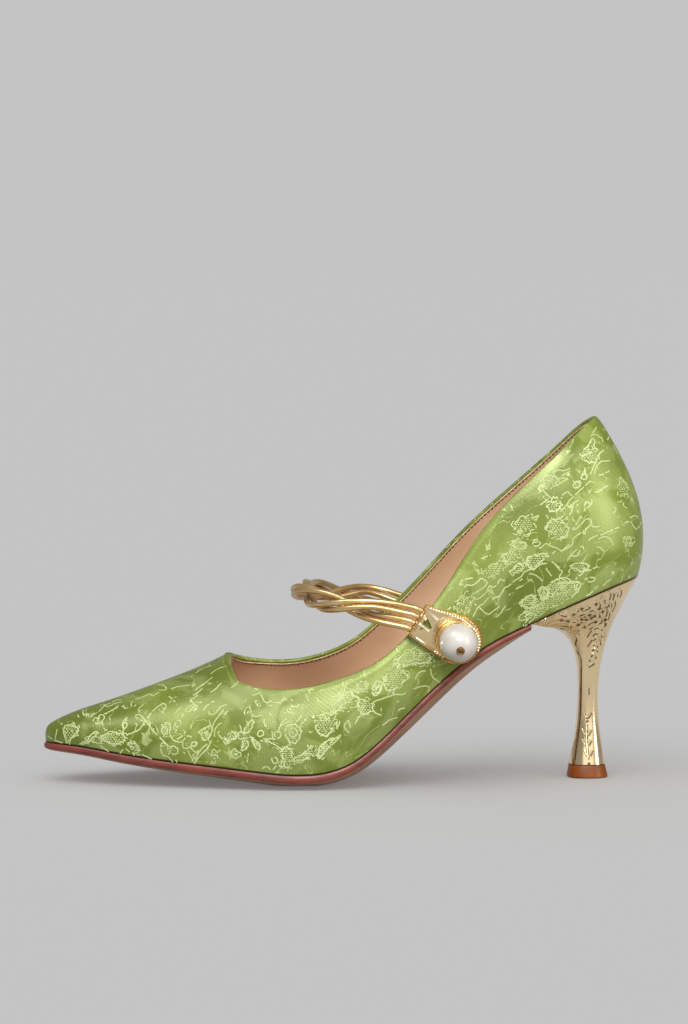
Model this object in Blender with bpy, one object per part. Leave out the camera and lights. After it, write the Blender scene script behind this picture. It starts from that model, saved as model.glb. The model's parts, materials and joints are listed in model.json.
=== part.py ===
"""Mary jane heel for the left foot: brocade pump with a twisted instep strap, pearl ornament and gold heel.

The shoe is drawn in millimetres: x from the toe tip to the heel, y from the outer (lateral, negative) to the
inner (medial, positive) side, z up from the floor. It is written in metres about the centre of its box.
"""
import math

import bmesh
import bpy
import numpy as np
from mathutils import Quaternion, Vector
from mathutils.bvhtree import BVHTree

MM = 0.001

# Driving sizes of the last, in millimetres. A column like "x_pct_length" is a percentage of one of them.
SHOE_LENGTH = 240.0
BALL_WIDTH = 72.0
INSTEP_HEIGHT = 50.0
HEEL_HEIGHT = 80.0
PERCENT_OF = {
    "length": SHOE_LENGTH / 100,
    "ball": BALL_WIDTH / 100,
    "instep": INSTEP_HEIGHT / 100,
    "heel": HEEL_HEIGHT / 100,
}

# Construction sizes, in millimetres
GAP = 0.3
WALL = 1.8
SOLE_MARGIN = 0.5
INSOLE_THICKNESS = 1.8
INSOLE_SHOULDER = 0.5
BREAST_X = 193.6
BOX_CENTRE = (120.24, -3.93)

# Mesh density
STEPS_PER_SECTION = 3
STEPS_AT_THROAT = 14
THROAT_ROWS = 2
GIRTH_STEPS = 9
SOLE_STEPS = 48
HALF_TURN = math.pi / 2

# Bottom of the last seen from the side. seat: top of the sole, edge: height of the sole's vertical band,
# drop: further depth of its bevel, inset: width of that bevel.
PROFILE_COLUMNS = ("x_pct_length", "seat_pct_heel", "edge", "drop", "inset")
PROFILE = [
    (0.0, 18.8, 2.2, 0.8, 3.0),
    (5.0, 18.5, 2.4, 1.2, 5.0),
    (12.5, 15.6, 2.6, 1.7, 8.0),
    (20.8, 12.7, 2.7, 2.2, 10.0),
    (29.2, 10.3, 2.8, 2.6, 12.0),
    (35.8, 8.3, 2.8, 3.0, 13.0),
    (40.0, 7.2, 2.8, 3.3, 13.0),
    (44.2, 7.3, 2.8, 3.3, 13.0),
    (47.5, 8.9, 2.8, 3.3, 12.0),
    (50.8, 12.6, 2.8, 3.6, 10.5),
    (54.6, 20.5, 2.9, 4.2, 9.0),
    (58.8, 31.9, 2.9, 4.8, 8.0),
    (62.9, 43.5, 2.9, 5.0, 7.5),
    (67.1, 54.6, 2.8, 4.5, 7.0),
    (71.7, 65.2, 2.6, 3.6, 6.5),
    (76.3, 73.2, 2.2, 2.6, 6.0),
    (80.8, 79.6, 1.6, 1.2, 5.0),
    (85.8, 86.7, 1.2, 0.8, 4.0),
    (90.8, 93.2, 1.0, 0.6, 4.0),
    (95.8, 98.8, 1.0, 0.6, 4.0),
    (100.0, 102.4, 1.0, 0.6, 4.0),
]

# Sections of the last from the toe tip to the back of the heel. Each runs from the feather edge over the
# side to a crest on the centre line; behind the throat the crest is only a guide above the open collar.
# swell: bulge of the side, arch: power of the arch, below 1 for a fuller side.
SECTION_COLUMNS = ("x_pct_length", "lateral_pct_ball", "medial_pct_ball", "crest_x_pct_length",
                   "crest_z_pct_instep", "swell_lateral", "swell_medial", "arch_lateral", "arch_medial")
SECTIONS = [
    (0.3, 0.0, 0.0, 4.0, 52.4, 0.4, 0.4, 0.80, 0.80),
    (1.4, 7.6, 7.6, 4.8, 53.9, 0.6, 0.6, 0.80, 0.80),
    (4.6, 15.6, 16.0, 7.2, 58.0, 0.9, 0.9, 0.88, 0.86),
    (9.6, 23.4, 24.6, 11.4, 64.3, 1.2, 1.2, 0.93, 0.88),
    (15.4, 30.6, 32.7, 16.2, 72.2, 1.4, 1.4, 0.96, 0.88),
    (21.2, 36.8, 38.8, 21.5, 81.5, 1.6, 1.6, 0.98, 0.86),
    (26.1, 41.3, 43.0, 26.2, 90.4, 1.8, 1.8, 1.00, 0.82),
    (30.7, 45.1, 46.4, 30.7, 100.2, 2.0, 2.0, 1.00, 0.80),
    (35.8, 48.6, 49.0, 32.6, 105.2, 2.2, 2.2, 1.00, 0.82),
    (42.1, 50.8, 49.4, 35.4, 114.0, 2.4, 2.6, 1.00, 0.88),
    (48.3, 49.4, 45.3, 39.6, 131.0, 3.2, 4.0, 1.00, 0.95),
    (54.6, 43.6, 37.4, 44.4, 160.0, 4.6, 6.0, 1.00, 1.00),
    (60.8, 36.8, 29.4, 50.0, 198.0, 6.0, 8.0, 1.00, 1.00),
    (67.1, 31.9, 24.8, 55.8, 240.0, 6.6, 9.0, 1.00, 1.00),
    (73.3, 29.6, 24.4, 61.8, 282.0, 6.2, 8.0, 1.00, 1.00),
    (79.6, 29.8, 27.0, 67.8, 316.0, 5.2, 6.0, 1.00, 1.00),
    (85.8, 31.2, 29.8, 73.6, 330.0, 4.2, 4.4, 1.00, 1.00),
    (91.3, 30.4, 29.6, 79.2, 320.0, 3.6, 3.6, 1.02, 1.02),
    (95.8, 24.0, 23.6, 83.4, 313.0, 3.5, 3.5, 1.05, 1.05),
    (98.5, 13.2, 13.0, 85.6, 311.5, 3.5, 3.5, 1.08, 1.08),
    (99.3, 0.0, 0.0, 86.0, 311.0, 3.5, 3.5, 1.09, 1.09),
]
THROAT_ROW = 7

# Topline of the collar seen from the side, from the throat to the top of the back
TOPLINE_COLUMNS = ("x_pct_length", "lateral_pct_instep", "medial_pct_instep")
TOPLINE = [
    (30.7, 100.2, 100.2),
    (31.7, 86.8, 97.4),
    (33.3, 81.2, 94.0),
    (35.8, 78.4, 91.2),
    (39.6, 77.6, 89.4),
    (43.8, 80.0, 91.0),
    (48.3, 85.6, 97.2),
    (52.9, 93.6, 109.2),
    (57.5, 108.0, 129.6),
    (62.1, 130.6, 152.0),
    (66.7, 160.0, 176.0),
    (71.7, 196.4, 201.0),
    (76.7, 224.0, 222.8),
    (81.7, 246.8, 243.8),
    (86.7, 269.0, 266.0),
    (90.0, 282.6, 282.0),
    (92.2, 289.8, 289.8),
]

# Heel seen from the side, from its seat down to the top piece: front_x, front_z, back_x, back_z, half_width
HEEL = [
    (194.0, 63.4, 238.2, 81.4, 21.6),
    (197.0, 62.2, 236.6, 78.2, 20.0),
    (201.9, 61.0, 234.2, 74.2, 17.4),
    (205.9, 59.4, 232.1, 70.0, 14.4),
    (208.9, 57.3, 230.1, 66.0, 11.6),
    (211.3, 54.0, 227.9, 61.2, 9.0),
    (213.0, 49.6, 225.6, 54.6, 6.9),
    (214.0, 44.2, 223.7, 46.4, 5.4),
    (214.4, 37.0, 222.6, 37.6, 4.6),
    (214.4, 29.0, 222.4, 29.0, 4.4),
    (213.9, 22.0, 222.9, 22.0, 4.7),
    (212.8, 15.0, 223.8, 15.0, 5.5),
    (211.5, 9.5, 224.7, 9.5, 6.4),
    (210.9, 5.5, 225.3, 5.5, 7.0),
]
HEEL_SIDE_STEPS = 14
HEEL_FRONT_STEPS = 4
HEEL_RINGS_PER_ROW = 2
HEEL_ROUND_ROW = 5.0
STEM_POWER = 2 / 2.6

# Lift under the heel, from its joint to the floor: front_x, back_x, half_width, z
TOP_PIECE = [
    (210.9, 225.3, 7.0, 5.2),
    (210.1, 226.5, 7.8, 0.5),
    (210.4, 226.2, 7.5, 0.0),
]

# Plates on the two sides, each seated on the wall with its bar end at the topline: direction that it faces,
# x and z of the round end's centre, slope seen from the side, ends of the bar along and across the plate,
# length to the round end
ORNAMENT = dict(facing=(0.15, -0.985, -0.08), end=(163.6, 58.6), slope=-26.2, bar=[(-0.5, 7.1), (-2.0, -6.5)],
                length=17.4, radius=9.7, thickness=2.2)
ANCHOR = dict(facing=(0.07, 0.99, 0.08), end=(154.5, 60.8), slope=-30.0, bar=[(0.0, 6.0), (0.0, -6.0)],
              length=8.0, radius=5.2, thickness=1.8)
SEATING_ROUNDS = 3
NEARBY = 1.2
PLATE_ARC_STEPS = 14
PLATE_RUN_STEPS = 5
UNDERSIDE_SHARES = (1.0, 0.75, 0.5, 0.25)
RIM_WIDTH = 1.1
RIM_DEPTH = 0.8
WINDOW = [(1.5, -3.0), (5.8, -0.2), (1.5, 3.4)]
BEZEL = dict(inner=6.1, outer=7.3, height=1.6, steps=24)

# Pearl on the plate at a place along and across it, cut flat under its foot, with a drilled cap that is
# tilted down from its pole
PEARL_PLACE = (16.3, -0.5)
PEARL_RADIUS = 7.5
PEARL_LIFT = 6.4
PEARL_STEPS = 24
PIN_RADIUS = 1.65
PIN_HEIGHT = 0.9
PIN_TILT = 15.0

# Strap of four cords twisted together, from the ornament over the instep to the anchor. The two plates set
# the ends of its route.
CORD_RADIUS = 1.2
CORD_POINTS = 24
CORD_STUBS = (3.4, 2.2)
STRAP_ROUTE = [
    (137.0, -31.4, 69.2),
    (124.0, -28.4, 71.2),
    (112.2, -20.4, 73.0),
    (104.6, -8.0, 74.8),
    (103.4, 6.0, 75.0),
    (109.2, 19.0, 74.2),
    (121.0, 27.8, 72.2),
    (134.0, 31.2, 69.8),
]
# The cords lie in two pairs that wind around each other: distance of a pair and of its cords from the
# middle, angle of the first pair at the ornament, turn up to the anchor, share of the length that opens the
# flat rows
TWIST = dict(pair_radius=2.8, cord_offset=1.4, start=90.0, turn=-540.0, row_share=0.2)
TWIST_RAMP = (0.04, 0.16)
CORDS = [(pair, place) for pair in (1, -1) for place in (1, -1)]

COLOURS = {
    "upper": ((0.30, 0.39, 0.06), 0.45, 0.0),
    "insole": ((0.50, 0.28, 0.18), 0.60, 0.0),
    "outsole": ((0.30, 0.07, 0.04), 0.55, 0.0),
    "heel": ((0.75, 0.55, 0.25), 0.20, 1.0),
    "top_piece": ((0.25, 0.09, 0.03), 0.50, 0.0),
    "strap": ((0.70, 0.50, 0.24), 0.35, 0.6),
    "ornament": ((0.78, 0.58, 0.28), 0.25, 1.0),
    "pearl": ((0.85, 0.82, 0.75), 0.20, 0.0),
}


def clear_scene():
    for old in list(bpy.data.objects):
        bpy.data.objects.remove(old, do_unlink=True)


def smooth_loop(rows):
    """Closed smooth curve through the rows; t counts rows."""
    rows = np.array(rows, dtype=float)
    count = len(rows)
    shift = np.roll(np.eye(count), 1, axis=0)
    knots = np.linalg.solve((4 * np.eye(count) + shift + shift.T) / 6, rows)

    def at(t):
        t = np.asarray(t, dtype=float)
        base = np.floor(t).astype(int)
        f = (t - base)[..., None]
        before, here, after, beyond = (knots[(base + step) % count] for step in (-1, 0, 1, 2))
        return ((1 - f) ** 3 * before + (3 * f ** 3 - 6 * f ** 2 + 4) * here
                + (-3 * f ** 3 + 3 * f ** 2 + 3 * f + 1) * after + f ** 3 * beyond) / 6

    return at


def smooth_run(rows):
    """Open smooth curve through the rows, closed on its own mirror image."""
    rows = list(rows)
    return smooth_loop(rows + rows[-2:0:-1])


def in_millimetres(columns, rows):
    """Rows of a table with its percentage columns turned into sizes."""
    return np.array(rows) * [PERCENT_OF.get(name.split("_pct_")[-1], 1.0) for name in columns]


def table_over_x(columns, rows, samples=600):
    """Columns of a table read by name as functions of its first column."""
    names = [name.split("_pct_")[0] for name in columns]
    dense = smooth_run(in_millimetres(columns, rows))(np.linspace(0, len(rows) - 1, samples))

    def at(name, x):
        return np.interp(x, dense[:, 0], dense[:, names.index(name)])

    return at


profile = table_over_x(PROFILE_COLUMNS, PROFILE)
topline = table_over_x(TOPLINE_COLUMNS, TOPLINE)
ridge = table_over_x(SECTION_COLUMNS[3:5], [row[3:5] for row in SECTIONS])
THROAT_X = TOPLINE[0][0] * PERCENT_OF["length"]
BACK_T = len(SECTIONS) - 1
LOOP_T = 2 * BACK_T


def seat(x):
    return profile("seat", x)


def section_rows():
    """Section table in millimetres, along the lateral side to the back and the medial side to the toe."""
    lateral_rows = []
    medial_rows = []
    for row in in_millimetres(SECTION_COLUMNS, SECTIONS):
        x, lateral, medial, crest_x, crest_z, swell_lateral, swell_medial, arch_lateral, arch_medial = row
        lateral_rows.append((x, -lateral, crest_x, crest_z, swell_lateral, arch_lateral))
        medial_rows.append((x, medial, crest_x, crest_z, swell_medial, arch_medial))
    return lateral_rows + medial_rows[-2:0:-1]


section = smooth_loop(section_rows())


def unit_rows(vectors):
    return vectors / np.linalg.norm(vectors, axis=-1, keepdims=True)


def feather(t):
    """Plan point of the feather edge and its outward direction."""
    point = section(t)[..., :2]
    step = 0.01
    run = section(t + step)[..., :2] - section(t - step)[..., :2]
    return point, unit_rows(np.stack([run[..., 1], -run[..., 0]], axis=-1))


SWELL_POWER = 6
SWELL_PEAK = 0.238
RIDGE_FADE_ROWS = (THROAT_ROW + 0.5, THROAT_ROW + 4.0)
RIDGE_BLEND_POWER = 4


def smooth_share(value, start, end):
    share = np.clip((value - start) / (end - start), 0, 1)
    return share * share * (3 - 2 * share)


def ridge_lean(t, crest_x):
    """Slope with which a section runs into the ridge, fading out behind the throat."""
    slope = ridge("crest_z", crest_x + 1.0) - ridge("crest_z", crest_x)
    return slope * (1 - smooth_share(np.minimum(t, LOOP_T - t), *RIDGE_FADE_ROWS))


def last_point(t, angle):
    """Surface of the last: angle 0 at the feather edge, a quarter turn at the crest."""
    t = np.asarray(t, dtype=float)
    row = section(t)
    foot, outward = feather(t)
    crest_x, crest_z, swell_size, arch = (row[..., i] for i in (2, 3, 4, 5))
    across = np.cos(angle) ** arch
    rise = np.sin(angle) ** arch
    swell = swell_size * np.sin(angle) * np.cos(angle) ** SWELL_POWER / SWELL_PEAK
    x = crest_x + (foot[..., 0] - crest_x) * across + outward[..., 0] * swell
    y = foot[..., 1] * across + outward[..., 1] * swell
    base = seat(foot[..., 0]) + GAP
    lean = ridge_lean(t, crest_x) * (x - crest_x) * rise ** RIDGE_BLEND_POWER
    return np.stack([x, y, base + (crest_z - base) * rise + lean], axis=-1)


def last_normal(t, angle):
    step = 0.004
    low = np.clip(angle - step, 0, HALF_TURN)
    high = np.clip(angle + step, 0, HALF_TURN)
    along = last_point(t + step, angle) - last_point(t - step, angle)
    up = last_point(t, high) - last_point(t, low)
    return unit_rows(np.cross(along, up))


def cover_angle(t):
    """Angle at which the section t is cut by the topline."""
    if min(t, LOOP_T - t) <= THROAT_ROW:
        return HALF_TURN
    angles = np.linspace(0, HALF_TURN, 400)[:-1]
    points = last_point(np.full(angles.shape, t), angles)
    above = points[:, 2] - topline("lateral" if t < BACK_T else "medial", points[:, 0])
    above[points[:, 0] < THROAT_X] = -1.0
    first = int(np.argmax(above > 0))
    share = above[first] / (above[first] - above[first - 1])
    return angles[first] - share * (angles[first] - angles[first - 1])


def metres(point):
    x, y, z = (float(v) for v in point)
    return Vector(((x - BOX_CENTRE[0]) * MM, (y - BOX_CENTRE[1]) * MM, z * MM))


def material(colour_name):
    made = bpy.data.materials.get(colour_name)
    if made is None:
        colour, roughness, metallic = COLOURS[colour_name]
        made = bpy.data.materials.new(colour_name)
        made.use_nodes = True
        shader = made.node_tree.nodes["Principled BSDF"]
        shader.inputs["Base Color"].default_value = (*colour, 1.0)
        shader.inputs["Roughness"].default_value = roughness
        shader.inputs["Metallic"].default_value = metallic
    return made


def finish_object(name, bm, colour_name, smooth_angle=40.0):
    """Put a closed bmesh into the scene as one named sub-part."""
    bmesh.ops.remove_doubles(bm, verts=bm.verts, dist=0.00001)
    bmesh.ops.recalc_face_normals(bm, faces=bm.faces)
    mesh = bpy.data.meshes.new(name)
    bm.to_mesh(mesh)
    bm.free()
    mesh.shade_smooth()
    mesh.set_sharp_from_angle(angle=math.radians(smooth_angle))
    part = bpy.data.objects.new(name, mesh)
    bpy.context.scene.collection.objects.link(part)
    part.data.materials.append(material(colour_name))
    return part


def add_ring(bm, points):
    return [bm.verts.new(metres(p)) for p in points]


def add_skin(bm, ring_a, ring_b, closed=True):
    """Quads between two rings of equal length."""
    count = len(ring_a)
    for i in range(count if closed else count - 1):
        j = (i + 1) % count
        bm.faces.new((ring_a[i], ring_a[j], ring_b[j], ring_b[i]))


def add_ladder(bm, ring):
    """Cap a ring whose first and middle points lie at its ends by rungs from side to side."""
    count = len(ring)
    for i in range(count // 2):
        corners = (ring[i], ring[i + 1], ring[(count - i - 1) % count], ring[(count - i) % count])
        bm.faces.new(tuple(dict.fromkeys(corners)))


def around_loop(half):
    """Stations along the lateral side, then their mirror image along the medial side."""
    return np.concatenate([half, LOOP_T - half[-2:0:-1]])


def upper_stations():
    """Stations of the upper, crowded together just behind the throat, and the index of the throat."""
    steps = THROAT_ROW * STEPS_PER_SECTION
    before = np.arange(steps) / STEPS_PER_SECTION
    opening = THROAT_ROW + THROAT_ROWS * (np.arange(STEPS_AT_THROAT) / STEPS_AT_THROAT) ** 2
    behind = np.arange((THROAT_ROW + THROAT_ROWS) * STEPS_PER_SECTION, BACK_T * STEPS_PER_SECTION + 1)
    return around_loop(np.concatenate([before, opening, behind / STEPS_PER_SECTION])), steps


def make_upper():
    """Hollow shell of the upper: outer and inner skin, open at the collar and underneath."""
    stations, throat = upper_stations()
    ends = np.array([cover_angle(t) for t in stations])
    bm = bmesh.new()
    outer = []
    inner = []
    for level in range(GIRTH_STEPS + 1):
        angles = ends * level / GIRTH_STEPS
        points = last_point(stations, angles)
        inside = points - WALL * last_normal(stations, angles)
        if level == 0:
            inside[:, 2] = seat(inside[:, 0]) + GAP
        inside[angles == HALF_TURN, 1] = 0.0
        outer.append(add_ring(bm, points))
        inner.append(add_ring(bm, inside))
    for level in range(GIRTH_STEPS):
        add_skin(bm, outer[level], outer[level + 1])
        add_skin(bm, inner[level + 1], inner[level])
    add_skin(bm, inner[0], outer[0])
    collar = slice(throat, len(stations) - throat + 1)
    add_skin(bm, outer[-1][collar], inner[-1][collar], closed=False)
    return finish_object("upper", bm, "upper")


def inset_ring(t, amount, height):
    """Feather edge moved inwards by amount, at a height given as a function of x."""
    foot, outward = feather(t)
    plan = foot - outward * np.reshape(amount, (-1, 1))
    return np.column_stack([plan, height(plan[:, 0])])


def make_insole():
    stations = around_loop(np.linspace(0, BACK_T, SOLE_STEPS + 1))
    margin = np.full(stations.shape, WALL + 2 * GAP)
    bm = bmesh.new()
    low = add_ring(bm, inset_ring(stations, margin, lambda x: seat(x) + GAP))
    side = add_ring(bm, inset_ring(stations, margin, lambda x: seat(x) + INSOLE_THICKNESS - INSOLE_SHOULDER))
    top = add_ring(bm, inset_ring(stations, margin + INSOLE_SHOULDER, lambda x: seat(x) + INSOLE_THICKNESS))
    add_skin(bm, low, side)
    add_skin(bm, side, top)
    add_ladder(bm, low)
    add_ladder(bm, top)
    finish_object("insole", bm, "insole")


def station_at_x(x):
    """Lateral station whose feather point lies at x."""
    t = np.linspace(0, BACK_T, 2000)
    return float(np.interp(x, section(t)[:, 0], t))


def make_outsole():
    """Sole from the toe to the heel's breast with a banded, bevelled edge and a flat tread."""
    half = np.linspace(0, station_at_x(BREAST_X), SOLE_STEPS + 1)
    stations = np.concatenate([half, LOOP_T - half[:0:-1]])
    margin = np.full(stations.shape, -SOLE_MARGIN)

    def band_foot(x):
        return seat(x) - profile("edge", x)

    def tread(x):
        return np.maximum(band_foot(x) - profile("drop", x), 0.0)

    bm = bmesh.new()
    top = add_ring(bm, inset_ring(stations, margin, seat))
    band = add_ring(bm, inset_ring(stations, margin, band_foot))
    bottom = add_ring(bm, inset_ring(stations, profile("inset", section(stations)[:, 0]), tread))
    add_skin(bm, top, band)
    add_skin(bm, band, bottom)
    add_ladder(bm, top)
    add_ladder(bm, bottom)
    finish_object("outsole", bm, "outsole", smooth_angle=25.0)


def heel_shape(round_share, seat_shape):
    """Ring between the heel's seat and stem outlines, as shares along (0 to 1) and across (-1 to 1)."""
    turn = np.arctan2(seat_shape[:, 1], 2 * seat_shape[:, 0] - 1)
    along = np.sign(np.cos(turn)) * np.abs(np.cos(turn)) ** STEM_POWER
    across = np.sign(np.sin(turn)) * np.abs(np.sin(turn)) ** STEM_POWER
    stem = np.column_stack([0.5 + 0.5 * along, across])
    return seat_shape + (stem - seat_shape) * round_share


def heel_seat_outline():
    """Seat of the heel in plan: around the back from breast to breast, then across the breast."""
    breast = station_at_x(BREAST_X + GAP)
    stations = np.linspace(breast, LOOP_T - breast, 2 * HEEL_SIDE_STEPS + 1)
    plan = inset_ring(stations, np.full(stations.shape, GAP), seat)[:, :2]
    shares = np.linspace(0, 1, HEEL_FRONT_STEPS + 1)[1:-1, None]
    return np.concatenate([plan, plan[-1] + (plan[0] - plan[-1]) * shares])


def make_heel(outline, seat_shape):
    """Slim heel: rings from the cupped seat down the curved breast to the top piece."""
    run = smooth_run(HEEL)
    levels = np.linspace(0, len(HEEL) - 1, HEEL_RINGS_PER_ROW * (len(HEEL) - 1) + 1)
    bm = bmesh.new()
    rings = [add_ring(bm, np.column_stack([outline, seat(outline[:, 0])]))]
    for level in levels[1:]:
        front_x, front_z, back_x, back_z, half_width = run(level)
        along, across = heel_shape(min(1.0, level / HEEL_ROUND_ROW), seat_shape).T
        rings.append(add_ring(bm, np.column_stack([front_x + (back_x - front_x) * along, half_width * across,
                                                   front_z + (back_z - front_z) * along])))
    for upper_ring, lower_ring in zip(rings, rings[1:]):
        add_skin(bm, upper_ring, lower_ring)
    bm.faces.new(rings[-1])
    side = 2 * HEEL_SIDE_STEPS
    for i in range(HEEL_SIDE_STEPS):
        corners = (rings[0][i], rings[0][i + 1], rings[0][side - i - 1], rings[0][side - i])
        if i == 0:
            corners += tuple(rings[0][side + 1:])
        bm.faces.new(tuple(dict.fromkeys(corners)))
    finish_object("heel", bm, "heel")


def make_top_piece(seat_shape):
    """Lift under the heel, flaring down to a flat foot."""
    along, across = heel_shape(1.0, seat_shape).T
    bm = bmesh.new()
    rings = []
    for front_x, back_x, half_width, z in TOP_PIECE:
        rings.append(add_ring(bm, np.column_stack([front_x + (back_x - front_x) * along, half_width * across,
                                                   np.full(along.shape, z)])))
    for upper_ring, lower_ring in zip(rings, rings[1:]):
        add_skin(bm, upper_ring, lower_ring)
    bm.faces.new(rings[0])
    bm.faces.new(rings[-1])
    finish_object("top_piece", bm, "top_piece", smooth_angle=35.0)


def make_heel_and_lift():
    outline = heel_seat_outline()
    front_x, back_x = outline[0, 0], outline[:, 0].max()
    half_width = np.abs(outline[:, 1]).max()
    along = (outline[:, 0] - front_x) / (back_x - front_x)
    seat_shape = np.column_stack([along, outline[:, 1] / half_width])
    make_heel(outline, seat_shape)
    make_top_piece(seat_shape)


def plate_outline(plate):
    """Outline of a plate along and across it: round end, straight sides tangent to it, straight bar."""
    length, radius = plate["length"], plate["radius"]
    high, low = plate["bar"]

    def tangent(corner, side):
        reach = math.hypot(corner[0] - length, corner[1])
        return math.atan2(corner[1], corner[0] - length) - side * math.acos(radius / reach)

    angles = np.linspace(tangent(low, -1), tangent(high, 1), PLATE_ARC_STEPS + 1)
    arc = [(length + radius * math.cos(a), radius * math.sin(a)) for a in angles]
    corners = [arc[-1], high, low, arc[0]]
    runs = [np.linspace(start, end, PLATE_RUN_STEPS + 1)[:-1] for start, end in zip(corners, corners[1:])]
    return np.concatenate([arc[:-1], *runs])


class PlateFrame:
    """Place of a plate on the wall: along from its bar to its round end, across, and out from the wall."""

    CAST_FROM = 30.0
    DEEPEST = 12.0

    def __init__(self, wall, plate):
        self.wall = wall
        self.out = Vector(plate["facing"]).normalized()
        slope = math.radians(plate["slope"])
        run = Vector((math.cos(slope), 0.0, math.sin(slope)))
        self.along = (run - self.out * run.dot(self.out)).normalized()
        self.across = self.out.cross(self.along)
        x, z = plate["end"]
        round_end = Vector((x, math.copysign(self.CAST_FROM, self.out.y), z))
        self.origin = round_end - self.along * plate["length"]
        for _ in range(SEATING_ROUNDS):
            highest = max(self.wall_height(a, b) for ring in plate_rings(plate)[0] for a, b in ring)
            self.origin.y += (highest + GAP) / self.out.y

    def wall_height(self, a, b):
        """Height of the wall at a point of the plate, or the deepest one where there is no wall below it."""
        _, _, _, distance = self.wall.ray_cast(metres(self.at(a, b, self.CAST_FROM)), -self.out)
        if distance is None:
            return -self.DEEPEST
        return max(self.CAST_FROM - distance / MM, -self.DEEPEST)

    def underside(self, a, b):
        """Underside of the plate: close over the wall, and level where it overhangs the topline."""
        nearby = [(0.0, 0.0), (NEARBY, 0.0), (-NEARBY, 0.0), (0.0, NEARBY), (0.0, -NEARBY)]
        height = max(self.wall_height(a + da, b + db) for da, db in nearby)
        return height + GAP if height > -self.DEEPEST else 0.0

    def at(self, a, b, h):
        return self.origin + self.along * float(a) + self.across * float(b) + self.out * float(h)


def plate_rings(plate):
    """Rings drawn in from the outline of a plate to its middle, and that middle."""
    middle = np.array([plate["length"] * 0.6, 0.0])
    outline = plate_outline(plate)
    return [middle + (outline - middle) * share for share in UNDERSIDE_SHARES], middle


def make_plate(name, frame, plate):
    """Cast plate with a raised rim around a recessed floor, its underside fitted to the wall."""
    bm = bmesh.new()
    top = add_ring(bm, [frame.at(a, b, plate["thickness"]) for a, b in plate_outline(plate)])
    under, middle = plate_rings(plate)
    rings = [add_ring(bm, [frame.at(a, b, frame.underside(a, b)) for a, b in ring]) for ring in under]
    for ring, following in zip([top] + rings, rings):
        add_skin(bm, ring, following)
    tip = bm.verts.new(metres(frame.at(*middle, frame.underside(*middle))))
    for corner, following in zip(rings[-1], rings[-1][1:] + rings[-1][:1]):
        bm.faces.new((corner, following, tip))
    floor = bm.faces.new(top)
    bmesh.ops.recalc_face_normals(bm, faces=bm.faces)
    bmesh.ops.inset_region(bm, faces=[floor], thickness=RIM_WIDTH * MM, depth=-RIM_DEPTH * MM)
    return finish_object(name, bm, "ornament")


def add_tool(target, name, bm, operation):
    """Join a closed bmesh to a part, or cut it away, as a boolean."""
    tool = finish_object(name, bm, "ornament")
    tool.hide_render = True
    tool.display_type = "WIRE"
    step = target.modifiers.new(name, "BOOLEAN")
    step.operation = operation
    step.solver = "EXACT"
    step.object = tool


class Axis:
    """Axis of a turned piece: its foot, its direction and two directions across it."""

    def __init__(self, foot, frame, tilt=0.0):
        turn = Quaternion(frame.along, math.radians(tilt))
        self.foot = foot
        self.way = turn @ frame.out
        self.sides = (turn @ frame.along, turn @ frame.across)

    def ring(self, bm, turns, radius, height):
        middle = self.foot + self.way * height
        return add_ring(bm, [middle + (self.sides[0] * math.cos(a) + self.sides[1] * math.sin(a)) * radius
                             for a in turns])


def make_ornament(frame):
    """Plate with a window behind its bar and a bezel under the pearl."""
    plate = make_plate("ornament_plate", frame, ORNAMENT)
    floor = ORNAMENT["thickness"] - RIM_DEPTH
    window = bmesh.new()
    depths = (-ORNAMENT["thickness"], floor + 1.0)
    rings = [add_ring(window, [frame.at(a, b, h) for a, b in WINDOW]) for h in depths]
    add_skin(window, *rings)
    window.faces.new(rings[0])
    window.faces.new(rings[1])
    add_tool(plate, "window_cutter", window, "DIFFERENCE")
    bezel = bmesh.new()
    turns = np.linspace(0, 2 * math.pi, BEZEL["steps"], endpoint=False)
    corners = [("outer", floor - GAP), ("outer", floor + BEZEL["height"]),
               ("inner", floor + BEZEL["height"]), ("inner", floor - GAP)]
    axis = Axis(frame.at(*PEARL_PLACE, 0.0), frame)
    rings = [axis.ring(bezel, turns, BEZEL[side], h) for side, h in corners]
    for ring, following in zip(rings, rings[1:] + rings[:1]):
        add_skin(bezel, ring, following)
    add_tool(plate, "bezel", bezel, "UNION")
    return floor


def round_piece(name, axis, profile_rows, steps, colour_name):
    """Solid turned about an axis: rows of radius and height, the ends closed flat."""
    bm = bmesh.new()
    turns = np.linspace(0, 2 * math.pi, steps, endpoint=False)
    rings = [axis.ring(bm, turns, radius, height) for radius, height in profile_rows]
    for lower_ring, upper_ring in zip(rings, rings[1:]):
        add_skin(bm, lower_ring, upper_ring)
    bm.faces.new(rings[0])
    bm.faces.new(rings[-1])
    finish_object(name, bm, colour_name)


def make_pearl(frame, floor):
    centre = floor + PEARL_LIFT
    foot = math.asin((GAP - PEARL_LIFT) / PEARL_RADIUS)
    pole_margin = math.radians(6.0)
    slants = np.linspace(foot, HALF_TURN - pole_margin, PEARL_STEPS // 2)
    rows = [(PEARL_RADIUS * math.cos(a), centre + PEARL_RADIUS * math.sin(a)) for a in slants]
    round_piece("pearl", Axis(frame.at(*PEARL_PLACE, 0.0), frame), rows, PEARL_STEPS, "pearl")
    base = PEARL_RADIUS + GAP / 2
    pin_rows = [(PIN_RADIUS, base), (PIN_RADIUS, base + PIN_HEIGHT * 0.6),
                (PIN_RADIUS * 0.7, base + PIN_HEIGHT)]
    pin_axis = Axis(frame.at(*PEARL_PLACE, centre), frame, PIN_TILT)
    round_piece("pearl_pin", pin_axis, pin_rows, PEARL_STEPS // 2, "ornament")


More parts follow.
